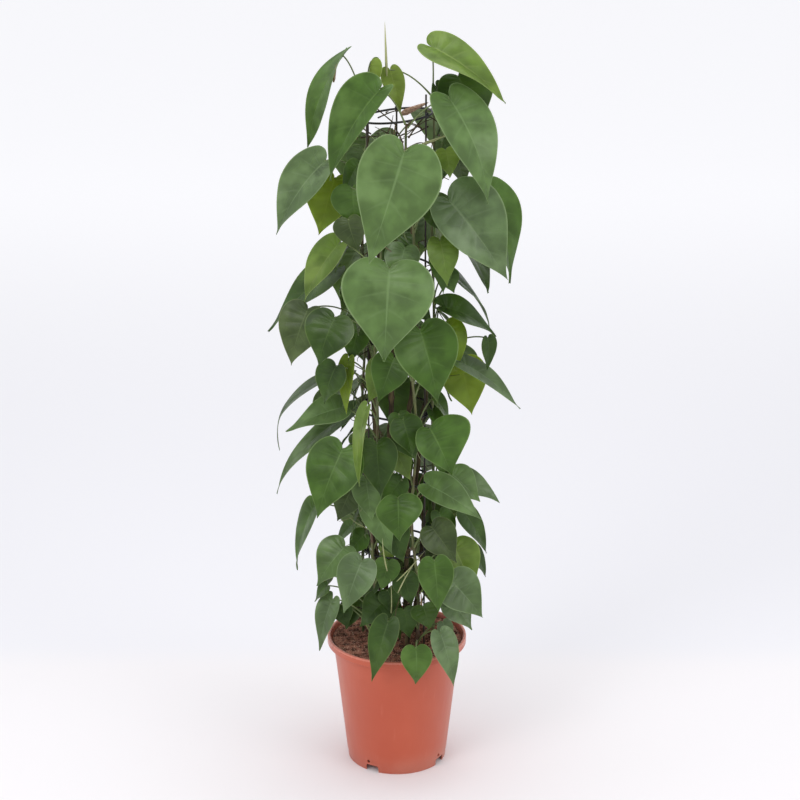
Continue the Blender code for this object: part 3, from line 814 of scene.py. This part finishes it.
def blade_mesh(
    name, base, tip, width, facing, tilt, bow=0.06, fold=10.0, lean=0.0, hook=0.0, twist=0.0, seed=0
):
    """A heart-shaped blade between two points. Lean makes one half wider than the other, hook
    bends the tip down and back, and twist turns the tip against the lobes."""
    along = tip - base
    length = along.length
    along.normalize()
    up = direction(facing) * math.cos(math.radians(tilt)) + Vector((0, 0, math.sin(math.radians(tilt))))
    up = (up - along * up.dot(along)).normalized()
    across = along.cross(up)
    crease = math.tan(math.radians(fold))
    places = []
    for j in range(BLADE_ROWS + 1):
        row = j / BLADE_ROWS
        end = smooth_through([p[0] for p in HEART], row)
        reach = max(smooth_through([p[1] for p in HEART], row), 0.0)
        root = smooth_through(VEIN_ROOTS, row)
        quilt = QUILTING * width * (abs(math.sin(math.pi * (VEIN_COUNT * row - 0.15))) ** 0.7 - 0.5)
        for k in range(-BLADE_COLUMNS, BLADE_COLUMNS + 1):
            side = k / BLADE_COLUMNS
            share = root + (end - root) * abs(side) ** 1.2
            half = width / 2 * (1.0 - lean * (1 if side > 0 else -1))
            off = abs(side) * reach * half
            rise = 4 * bow * length * (share - share * share)
            rise += (math.hypot(off, 0.002) - 0.002) * crease - 0.22 * crease * off * abs(side) * reach
            rise += quilt * math.sin(math.pi * min(abs(side) * 1.1, 1.0)) * min(reach * 2, 1)
            ripple = math.sin(math.tau * (2.1 * row + 0.31 * seed) + (side > 0) * 1.7)
            rise += MARGIN_WAVE * width * abs(side) ** 3 * ripple
            rise -= hook * length * max(share - HOOK_START, 0.0) ** 2 / HOOK_SPAN
            turn = Matrix.Rotation(math.radians(twist) * (share - 0.3), 3, along)
            aside = turn @ (across * math.copysign(off, side) + up * rise)
            places.append(base + along * (share * length) + aside)
    columns = 2 * BLADE_COLUMNS + 1
    bm = bmesh.new()
    bmesh.ops.create_grid(bm, x_segments=columns - 1, y_segments=BLADE_ROWS, size=1.0)
    grid = sorted(bm.verts, key=lambda v: (round(v.co.y, 4), v.co.x))
    layer = bm.loops.layers.uv.new("blade")
    for j in range(BLADE_ROWS + 1):
        for k in range(columns):
            for corner in grid[j * columns + k].link_loops:
                corner[layer].uv = (j / BLADE_ROWS, k / (columns - 1))
    for vertex, place in zip(grid, places):
        vertex.co = place
    bmesh.ops.remove_doubles(bm, verts=bm.verts, dist=0.00002)
    bmesh.ops.dissolve_degenerate(bm, edges=bm.edges, dist=0.00001)
    bm.normal_update()
    if sum((f.normal * f.calc_area() for f in bm.faces), Vector()).dot(up) < 0:
        bmesh.ops.reverse_faces(bm, faces=bm.faces)
    mesh = bpy.data.meshes.new(name)
    bm.to_mesh(mesh)
    bm.free()
    return mesh


def thick_blade(mesh, upper, under):
    """The blade as a thin closed solid with its own finish on each side."""
    mesh.materials.append(upper)
    mesh.materials.append(under)
    holder = link(bpy.data.objects.new(mesh.name, mesh))
    shell = holder.modifiers.new("thickness", "SOLIDIFY")
    shell.thickness = BLADE_THICKNESS
    shell.offset = -1.0
    shell.material_offset = 1
    made = plain_mesh(holder, mesh.name)
    made.shade_smooth()
    made.set_sharp_from_angle(angle=math.radians(SMOOTH_BLADE_BELOW))
    return made


def nearest_stem(base):
    """The stem that a leaf grows on, and the height above the rim where its stalk starts."""
    def distance(stem):
        height = max(base.z - POT_HEIGHT - STALK_DROP, STALK_LOWEST)
        height = min(height, STEMS[stem][3] - STALK_RADIUS)
        return (stem_centre(stem, height) - base).length, stem, height
    return min(distance(stem) for stem in STEMS)[1:]


def stalk_path(base, seed):
    """The stalk's arch from its stem to the blade, thickest where it clasps the stem."""
    stem, height = nearest_stem(base)
    centre = stem_centre(stem, height)
    out = base - centre
    out.z = 0.0
    foot = centre + out.normalized() * (STEM_RADIUS * 0.6)
    span = base - foot
    middle = foot + span / 2 + Vector((0, 0, STALK_LIFT * span.length))
    sway = Vector((math.sin(7.0 * seed), math.cos(5.0 * seed), 0.0)) * 0.02 * span.length
    path = []
    for i in range(STALK_POINTS + 1):
        share = i / STALK_POINTS
        place = foot * (1 - share) ** 2 + middle * (2 * share * (1 - share)) + base * share**2
        radius = STALK_RADIUS * (0.8 + 0.5 * math.exp(-share * 9.0))
        path.append((place + sway * math.sin(math.pi * share), radius))
    return path


def skin_of(mesh):
    """The mesh's surface, to test what touches it."""
    return BVHTree.FromPolygons([v.co for v in mesh.vertices], [list(f.vertices) for f in mesh.polygons])


def pierces(path, surface):
    """Whether a strand passes through a surface."""
    for (start, _), (end, _) in zip(path, path[1:]):
        step = end - start
        if surface.ray_cast(start, step, step.length)[0] is not None:
            return True
    return False


hard_pieces = [
    skin_of(piece.data) for piece in bpy.context.scene.objects
    if piece.name.startswith(("hoop_", "upright_", "stem_", "old_stem_")) and piece.name != "hoop_clips"
]
# The blade and stalk of every leaf so far.
grown = []


def has_room(surface, path):
    """Whether a new blade and stalk miss the tower, the stems and every leaf that has grown."""
    if any(surface.overlap(hard) for hard in hard_pieces):
        return False
    return not any(
        (path[-1][0] - other_path[-1][0]).length < REACH_OF_LEAF and (
            surface.overlap(other) or pierces(path, other) or pierces(other_path, surface)
        )
        for other, other_path in grown
    )


def leaf(name, look, seed, base, tip, *shape, nodes=(), only_if_room=False, **more):
    """A whole leaf, blade and stalk in one mesh."""
    more.setdefault("twist", TWIST * math.sin(2.3 * seed))
    blade = blade_mesh(name, base, tip, *shape, seed=seed, **more)
    path = stalk_path(base, seed)
    surface = skin_of(blade)
    if only_if_room and not has_room(surface, path):
        bpy.data.meshes.remove(blade)
        return None
    grown.append((surface, path))
    blade = thick_blade(blade, LEAF_FINISHES[look], LEAF_UNDERSIDE)
    stalk = strands(f"{name}_stalk", [path], stalk_skin, sides=STALK_SIDES)
    bm = bmesh.new()
    bm.from_mesh(blade)
    blade_faces = len(bm.faces)
    bm.from_mesh(stalk)
    bm.faces.ensure_lookup_table()
    for i in range(blade_faces, len(bm.faces)):
        bm.faces[i].material_index = 2
    bm.to_mesh(blade)
    bm.free()
    blade.materials.append(stalk_skin)
    bpy.data.meshes.remove(stalk)
    return settle(f"{name}_blade", blade, "leaf_green", *nodes)


# Large leaves seen from the front: blade base and tip (across, depth, height above the rim), width,
# compass direction the upper side faces, upward tilt of that side, bow, fold, lean, hook, finish.
FRONT_LEAVES = (
    ((-0.085, 0.02, 0.994), (-0.1495, 0.02, 0.846), 0.086, -70, 14, 0.06, 10, 0.0, 0.1, "green"),
    ((-0.026, -0.072, 0.955), (-0.104, -0.09, 0.815), 0.1, -50, 25, 0.08, 14, -0.28, 0.0, "green"),
    ((0.0545, 0.0, 1.012), (0.173, -0.03, 0.927), 0.09, 12, 66, 0.06, 22, -0.1, 0.0, "lime"),
    ((0.083, -0.052, 0.938), (0.1495, -0.07, 0.774), 0.106, 38, 15, 0.09, 10, 0.0, 0.05, "mature"),
    ((0.012, -0.136, 0.87), (-0.043, -0.154, 0.697), 0.131, 6, 18, 0.06, 8, 0.06, 0.0, "mature"),
    ((-0.114, -0.028, 0.834), (-0.194, -0.038, 0.716), 0.092, -34, 46, 0.08, 12, -0.15, 0.0, "silver"),
    ((0.082, -0.06, 0.778), (0.179, -0.06, 0.647), 0.116, 15, 22, 0.07, 12, 0.18, 0.0, "silver"),
    ((0.149, 0.03, 0.776), (0.185, 0.015, 0.621), 0.108, 56, 15, 0.08, 12, 0.0, 0.0, "green"),
    ((-0.093, -0.03, 0.7), (-0.15, -0.05, 0.608), 0.072, -52, 12, 0.06, 12, -0.1, 0.0, "lime"),
    ((-0.1, 0.03, 0.644), (-0.2155, 0.045, 0.53), 0.088, -52, 50, 0.05, 12, 0.0, 0.0, "deep"),
    ((-0.011, -0.13, 0.684), (-0.02, -0.15, 0.537), 0.147, -2, 20, 0.06, 6, 0.0, 0.0, "mature"),
    ((-0.145, -0.022, 0.588), (-0.174, -0.03, 0.494), 0.084, -20, 28, 0.08, 10, 0.0, 0.0, "dull"),
    ((-0.099, -0.078, 0.59), (-0.126, -0.086, 0.51), 0.086, -18, 30, 0.09, 8, 0.0, 0.0, "deep"),
    ((-0.125, 0.02, 0.455), (-0.2235, 0.03, 0.344), 0.062, -88, 45, 0.08, 8, 0.0, 0.22, "deep"),
    ((-0.08, 0.0, 0.404), (-0.2155, -0.01, 0.272), 0.052, -36, 64, 0.05, 12, 0.0, 0.1, "silver"),
    ((-0.088, -0.09, 0.37), (-0.131, -0.11, 0.256), 0.098, -18, 22, 0.08, 8, 0.0, 0.0, "green"),
    ((0.0375, -0.1, 0.576), (0.066, -0.118, 0.458), 0.106, 12, 20, 0.08, 14, 0.0, 0.0, "green"),
    ((0.072, -0.038, 0.597), (0.163, -0.025, 0.541), 0.076, 40, 70, 0.09, 14, 0.0, 0.0, "deep"),
    ((0.095, 0.04, 0.628), (0.158, 0.05, 0.53), 0.08, 92, 40, 0.08, 8, 0.0, 0.0, "deep"),
    ((0.106, -0.03, 0.5), (0.204, -0.04, 0.422), 0.056, 38, 70, 0.06, 12, 0.0, 0.0, "silver"),
    ((0.054, -0.1, 0.408), (0.09, -0.114, 0.333), 0.098, 18, 22, 0.07, 12, 0.25, 0.0, "green"),
    ((0.1, -0.005, 0.29), (0.1745, -0.015, 0.247), 0.052, 22, 48, 0.09, 12, 0.0, 0.0, "silver"),
    ((0.05, -0.076, 0.303), (0.141, -0.085, 0.244), 0.06, 12, 48, 0.07, 14, 0.1, 0.0, "mature"),
    ((0.002, -0.128, 0.298), (0.0055, -0.142, 0.229), 0.076, 0, 18, 0.06, 26, 0.0, 0.0, "green"),
    ((-0.1405, 0.0, 0.236), (-0.171, -0.01, 0.122), 0.074, -72, 12, 0.06, 10, 0.0, 0.0, "green"),
    ((-0.087, -0.05, 0.182), (-0.135, -0.06, 0.114), 0.074, -28, 30, 0.08, 12, 0.0, 0.0, "mature"),
    ((-0.058, -0.095, 0.174), (-0.088, -0.11, 0.087), 0.068, -16, 20, 0.07, 10, 0.0, 0.0, "silver"),
    ((0.062, -0.128, 0.188), (0.069, -0.136, 0.1), 0.06, 8, 16, 0.07, 10, 0.0, 0.0, "green"),
    ((0.089, -0.098, 0.142), (0.144, -0.112, 0.079), 0.078, 20, 25, 0.06, 10, 0.0, 0.0, "silver"),
)
# Low leaves over the pot's rim: azimuth, reach past the rim and height above the rim of the blade's
# base and tip, then as above.
RIM_LEAVES = (
    ((-7.0, -0.004, 0.074), (-15.5, 0.035, -0.02), 0.05, -16, 18, 0.05, 16, 0.0, 0.0, "deep"),
    ((12.9, 0.0235, 0.036), (11.9, 0.043, -0.023), 0.053, 8, 22, 0.08, 4, 0.0, 0.3, "green"),
    ((32.5, 0.016, 0.052), (35.5, 0.045, -0.036), 0.05, 30, 18, 0.06, 10, 0.0, 0.0, "silver"),
    ((-65.0, 0.0, 0.086), (-65.4, 0.0245, -0.006), 0.054, -50, 10, 0.06, 10, 0.0, 0.0, "silver"),
)
# Leaves round the back: azimuth and height above the rim of the blade's base, width.
BACK_LEAVES = (
    (148.0, 0.89, 0.112), (204.0, 0.85, 0.12), (172.0, 0.73, 0.128), (118.0, 0.69, 0.108),
    (214.0, 0.665, 0.112), (196.0, 0.56, 0.124), (136.0, 0.5, 0.11), (228.0, 0.43, 0.112),
    (164.0, 0.34, 0.108), (206.0, 0.2, 0.096),
)
BACK_REACH = 0.048
BACK_SPREAD = 0.062
CHORD_PER_WIDTH = 1.12
# Leaves that twist more than most, in degrees from lobes to tip.
TURNED_LEAVES = {"leaf_01": -70.0, "leaf_24": 46.0, "leaf_25": 20.0}
BACK_SHAPE = (22, 0.08, 10, 0.0, 0.0)
BACK_FINISHES = ("mature", "silver", "mature", "deep", "mature")

rim = Vector((0, 0, POT_HEIGHT))
whole_leaves = [(rim + Vector(base), rim + Vector(tip), *more) for base, tip, *more in FRONT_LEAVES]
for base, tip, *more in RIM_LEAVES:
    ends = [
        direction(azimuth) * (RIM_RADIUS + reach) + rim + Vector((0, 0, height))
        for azimuth, reach, height in (base, tip)
    ]
    whole_leaves.append((*ends, *more))
for i, (azimuth, height, width) in enumerate(BACK_LEAVES):
    out = direction(azimuth)
    drop = math.sqrt((CHORD_PER_WIDTH * width) ** 2 - BACK_SPREAD**2)
    base = rim + out * (STEM_CIRCLE + BACK_REACH) + Vector((0, 0, height))
    tip = base + out * BACK_SPREAD - Vector((0, 0, drop))
    look = BACK_FINISHES[i % len(BACK_FINISHES)]
    whole_leaves.append((base, tip, width, azimuth, *BACK_SHAPE, look))
for i, (base, tip, width, facing, tilt, bow, fold, lean, hook, look) in enumerate(whole_leaves):
    name = f"leaf_{i + 1:02d}"
    extra = {"twist": TURNED_LEAVES[name]} if name in TURNED_LEAVES else {}
    leaf(name, look, i, base, tip, width, facing, tilt, bow, fold, lean, hook, nodes=(name,), **extra)


# The smaller leaves: young ones, and ones half hidden between the large leaves. They are blades on
# slender stalks like the large ones, and grow on the same stems.
# Blade base and tip (across, depth, height above the rim), width, compass direction the upper side
# faces, upward tilt of that side, finish.
INNER_LEAVES = (
    ((-0.04, -0.01, 0.99), (-0.042, -0.01, 0.935), 0.033, -84, 0, "fresh"),
    ((-0.0105, 0.01, 0.973), (0.007, 0.0, 0.906), 0.038, 14, 10, "fresh"),
    ((0.098, 0.02, 0.962), (0.136, 0.01, 0.872), 0.098, 20, 15, "deep"),
    ((0.0625, -0.01, 0.951), (0.066, -0.01, 0.872), 0.052, 62, 10, "deep"),
    ((-0.1, 0.02, 0.797), (-0.127, 0.015, 0.703), 0.084, -8, 12, "lit"),
    ((-0.071, -0.03, 0.79), (-0.064, -0.03, 0.719), 0.07, -10, 15, "green"),
    ((-0.078, -0.05, 0.744), (-0.06, -0.05, 0.691), 0.058, -30, 20, "dull"),
    ((0.01, -0.05, 0.7235), (-0.027, -0.06, 0.677), 0.062, -10, 20, "deep"),
    ((0.069, -0.07, 0.715), (0.081, -0.08, 0.642), 0.054, 20, 12, "lime"),
    ((0.082, 0.0, 0.645), (0.094, 0.0, 0.609), 0.036, 10, 12, "green"),
    ((-0.099, -0.055, 0.501), (-0.119, -0.06, 0.437), 0.066, -40, 15, "deep"),
    ((-0.089, -0.03, 0.422), (-0.184, -0.035, 0.38), 0.07, -30, 62, "mature"),
    ((-0.05, -0.1, 0.44), (-0.06, -0.108, 0.312), 0.05, -66, 8, "lime"),
    ((-0.032, -0.088, 0.379), (-0.026, -0.1, 0.29), 0.068, -6, 12, "deep"),
    ((0.079, -0.03, 0.563), (0.099, -0.03, 0.483), 0.066, 30, 12, "lit"),
    ((-0.004, -0.08, 0.522), (-0.03, -0.09, 0.4505), 0.064, -5, 15, "green"),
    ((0.15, -0.02, 0.538), (0.149, -0.02, 0.483), 0.034, 40, 12, "deep"),
    ((0.107, 0.02, 0.485), (0.127, 0.02, 0.392), 0.078, 5, 12, "lit"),
    ((0.0725, -0.03, 0.297), (0.12, -0.03, 0.258), 0.05, 10, 30, "deep"),
    ((-0.041, -0.06, 0.276), (-0.008, -0.07, 0.176), 0.058, 0, 12, "mature"),
    ((0.113, 0.0, 0.225), (0.154, 0.0, 0.149), 0.056, 50, 40, "deep"),
    ((0.058, -0.08, 0.229), (0.1, -0.088, 0.168), 0.064, 22, 14, "dull"),
    ((0.096, -0.04, 0.18), (0.131, -0.05, 0.099), 0.074, 15, 12, "lime"),
    ((0.129, 0.0, 0.155), (0.153, 0.0, 0.105), 0.044, 60, 30, "deep"),
    ((-0.02, -0.06, 0.088), (-0.062, -0.08, 0.0475), 0.058, -20, 20, "deep"),
    ((0.012, -0.08, 0.079), (0.022, -0.09, 0.032), 0.048, 10, 25, "deep"),
    ((0.044, -0.08, 0.086), (0.056, -0.095, 0.049), 0.05, 10, 40, "deep"),
    ((0.078, -0.07, 0.052), (0.09, -0.07, 0.012), 0.03, 25, 12, "silver"),
    ((0.091, -0.03, 0.075), (0.128, -0.05, 0.028), 0.058, 30, 30, "silver"),
    ((-0.05, 0.01, 0.07), (-0.08, 0.0, 0.02), 0.05, -30, 20, "deep"),
    ((-0.118, -0.02, 0.1), (-0.14, -0.02, 0.07), 0.034, -70, 10, "deep"),
    ((-0.079, -0.05, 0.51), (-0.082, -0.06, 0.42), 0.036, -40, 10, "lit"),
    ((0.012, -0.085, 0.398), (0.03, -0.095, 0.352), 0.054, 0, 30, "deep"),
    ((-0.076, -0.02, 0.305), (-0.088, -0.025, 0.245), 0.046, -20, 10, "deep"),
    ((-0.096, -0.04, 0.072), (-0.084, -0.05, 0.032), 0.04, -10, 20, "deep"),
    ((0.092, -0.05, 0.312), (0.139, -0.055, 0.264), 0.056, 14, 30, "mature"),
    ((-0.051, -0.07, 0.312), (-0.041, -0.08, 0.238), 0.052, 0, 12, "mature"),
    ((-0.075, -0.04, 0.282), (-0.099, -0.045, 0.226), 0.058, -20, 20, "dull"),
    ((0.01, -0.09, 0.42), (0.025, -0.1, 0.361), 0.058, 20, 24, "deep"),
    ((-0.0145, -0.05, 0.157), (-0.0265, -0.06, 0.107), 0.046, 10, 24, "green"),
    ((0.012, -0.05, 0.13), (0.026, -0.06, 0.079), 0.046, 0, 16, "deep"),
    ((-0.015, -0.06, 0.107), (0.002, -0.07, 0.071), 0.042, -20, 30, "deep"),
    ((-0.042, -0.04, 0.126), (-0.052, -0.05, 0.078), 0.044, -30, 16, "deep"),
    ((-0.077, -0.03, 0.062), (-0.087, -0.04, 0.024), 0.036, -10, 20, "deep"),
    ((-0.1155, 0.02, 0.1), (-0.137, 0.02, 0.066), 0.03, -60, 20, "dull"),
    ((0.078, -0.04, 0.854), (0.085, -0.045, 0.81), 0.044, 20, 16, "lime"),
    ((0.098, -0.01, 0.832), (0.1085, -0.01, 0.79), 0.036, 30, 16, "dull"),
)
# The youngest leaf is still half closed.
FOLDED_LEAVES = {"inner_leaf_01": -58.0}
# Where a leaf has no room it grows a little further in or out, in this order.
SHIFTS = (0.0, 0.004, -0.004, 0.008, -0.008, 0.013, -0.013, 0.019, -0.019, 0.026)


def small_leaf(name, seed, base, tip, width, facing, tilt, look):
    """A smaller leaf, moved to where it has room if there is such a place nearby."""
    shape = (width, facing, tilt)
    fold = FOLDED_LEAVES.get(name, 10.0)
    for shift in SHIFTS:
        place = rim + Vector((0.0, 1.0, -0.3)) * shift
        ends = (place + Vector(base), place + Vector(tip))
        if leaf(name, look, seed, *ends, *shape, fold=fold, only_if_room=True):
            return
    leaf(name, look, seed, rim + Vector(base), rim + Vector(tip), *shape, fold=fold)


for i, row in enumerate(INNER_LEAVES):
    small_leaf(f"inner_leaf_{i + 1:02d}", i + 50, *row)


# The thicket: shaded leaves packed between the tower and the large leaves, each where it has room,
# and reaching further out at the back than at the front.
THICKET_LEAVES = 96
THICKET_LOW = 0.07
THICKET_HIGH = 0.86
THICKET_TRIES = 24
GOLDEN_TURN = 137.5
THICKET_WIDTHS = (0.050, 0.078)
THICKET_REACH = (0.030, 0.062)
THICKET_DROP = (0.95, 1.2)
THICKET_DRIFT = 0.035
REAR_REACH = 0.034
TIP_REACH = (0.008, 0.035)
THICKET_FINISHES = ("deep", "green", "dull", "deep", "mature", "deep", "green", "lime", "green")

chance = random.Random(23)
for i in range(THICKET_LEAVES):
    name = f"thicket_leaf_{i + 1:02d}"
    look = THICKET_FINISHES[i % len(THICKET_FINISHES)]
    height = THICKET_LOW + (THICKET_HIGH - THICKET_LOW) * (i + 0.5) / THICKET_LEAVES
    for attempt in range(THICKET_TRIES):
        azimuth = GOLDEN_TURN * i + chance.uniform(-1, 1) * (20 + 4 * attempt)
        out = direction(azimuth)
        rear = 0.5 + 0.5 * out.y
        width = chance.uniform(*THICKET_WIDTHS) * (1.0 - 0.02 * attempt)
        base = rim + out * (chance.uniform(*THICKET_REACH) + REAR_REACH * rear)
        base.z += height + chance.uniform(-0.002, 0.002) * attempt
        drift = direction(azimuth + 90.0) * chance.uniform(-THICKET_DRIFT, THICKET_DRIFT)
        tip = base + out * (TIP_REACH[0] + TIP_REACH[1] * rear) + drift
        tip.z -= chance.uniform(*THICKET_DROP) * width
        facing = azimuth + chance.uniform(-40, 40)
        tilt = chance.uniform(5, 40)
        if leaf(name, look, i + 100, base, tip, width, facing, tilt, only_if_room=True):
            break

# Leaves behind the tower that close the widest gaps, in the same columns as the smaller leaves.
GAP_LEAVES = (
    ((0.0, 0.042, 0.447), (-0.011, 0.048, 0.363), 0.074, -8, 14, "green"),
    ((0.046, 0.05, 0.43), (0.041, 0.056, 0.353), 0.056, 10, 12, "dull"),
    ((0.05, 0.046, 0.269), (0.058, 0.052, 0.162), 0.066, 6, 12, "deep"),
    ((0.009, 0.034, 0.122), (0.013, 0.04, 0.052), 0.05, 0, 16, "dull"),
)
for i, row in enumerate(GAP_LEAVES):
    small_leaf(f"gap_leaf_{i + 1}", i + 200, *row)


# The shoot, sheaths and loose strands: the newest leaf still rolled up at the top, the dry papery
# sheaths that older leaves leave on the stems, and dead roots and leaf stalks caught in the tower.
# Sheaths: start and end (across, depth, height above the rim), radius, finish.
SHEATHS = (
    ((-0.0155, 0.0, 0.965), (-0.0185, 0.0, 1.049), 0.0026, "pale"),
    ((0.007, 0.0, 0.904), (0.05, 0.0, 0.924), 0.0062, "husk"),
    ((0.04, -0.03, 0.861), (0.084, -0.03, 0.876), 0.003, "pale"),
    ((-0.1, 0.0, 0.955), (-0.096, 0.0, 0.985), 0.0026, "dry"),
    ((0.0, -0.082, 0.132), (0.052, -0.086, 0.186), 0.0012, "pale"),
    ((0.002, -0.08, 0.11), (0.026, -0.086, 0.172), 0.0013, "pale"),
    ((-0.01, -0.076, 0.06), (-0.004, -0.082, 0.134), 0.0013, "pale"),
    ((-0.016, -0.08, 0.15), (-0.03, -0.084, 0.212), 0.0016, "pale"),
    ((0.04, -0.075, 0.06), (0.046, -0.08, 0.112), 0.0024, "dry"),
)
SHEATH_POINTS = 16
SHEATH_CURVE = 0.12
SHEATH_TIP = 0.0002
# Loose strands: how many, lowest and highest above the rim, radius.
TWIGS = {
    "dead_roots": (56, 0.03, 0.84, 0.0010), "top_roots": (48, 0.83, 0.91, 0.0014),
    "dry_petioles": (26, 0.03, 0.60, 0.0012), "pale_petioles": (34, 0.03, 0.45, 0.0009),
}
TWIG_POINTS = 12
TWIG_PLACES = (0.045, 0.068)
TWIG_LENGTHS = (0.025, 0.065)
TWIG_BEND = 0.012

sheath_looks = {
    "dry": grained(
        "dry_sheath", 200.0, (0.16, 0.085, 0.045), (0.42, 0.30, 0.18), detail=4.0, stretch=(3.0, 3.0, 0.5),
        span=(0.35, 0.65), relief=(0.5, 0.001), Roughness=0.85,
    ),
    "pale": grained("pale_sheath", 40.0, (0.26, 0.30, 0.10), (0.50, 0.50, 0.26), Roughness=0.5),
    "husk": grained(
        "husk", 260.0, (0.30, 0.16, 0.10), (0.68, 0.46, 0.34), detail=5.0, stretch=(0.6, 3.0, 3.0),
        span=(0.35, 0.65), relief=(0.9, 0.003), Roughness=0.95,
    ),
}
for i, (start, end, radius, look) in enumerate(SHEATHS):
    start, end = rim + Vector(start), rim + Vector(end)
    side = Vector((math.sin(3.0 * i), math.cos(3.0 * i), 0.0)) * SHEATH_CURVE * (end - start).length
    path = []
    for k in range(SHEATH_POINTS + 1):
        share = k / SHEATH_POINTS
        full = min(1.0, 0.45 + 3.0 * share) * (1.0 - share) ** 0.6
        path.append((start.lerp(end, share) + side * share * share, max(radius * full, SHEATH_TIP)))
    name = f"sheath_{i + 1}"
    settle(name, strands(name, [path], sheath_looks[look], sides=12), "leaf_green")

chance = random.Random(31)
for name, (count, low, high, thick) in TWIGS.items():
    look = sheath_looks.get(name.split("_")[0], old_bark)
    paths = []
    for i in range(count):
        height = chance.uniform(low, high)
        start = direction(chance.uniform(0, 360)) * chance.uniform(*TWIG_PLACES) + Vector((0, 0, height))
        along = Vector((chance.uniform(-1, 1), chance.uniform(-1, 1), chance.uniform(-1.2, 0.6))).normalized()
        side = Vector((-along.y, along.x, 0.3)) * chance.uniform(-TWIG_BEND, TWIG_BEND)
        length = chance.uniform(*TWIG_LENGTHS)
        path = []
        for k in range(TWIG_POINTS + 1):
            share = k / TWIG_POINTS
            place = rim + start + along * (length * share) + side * math.sin(math.pi * share)
            path.append((place, thick * (1.0 - 0.6 * share)))
        paths.append(path)
    settle(name, strands(name, paths, look, sides=6), "stem_bark")
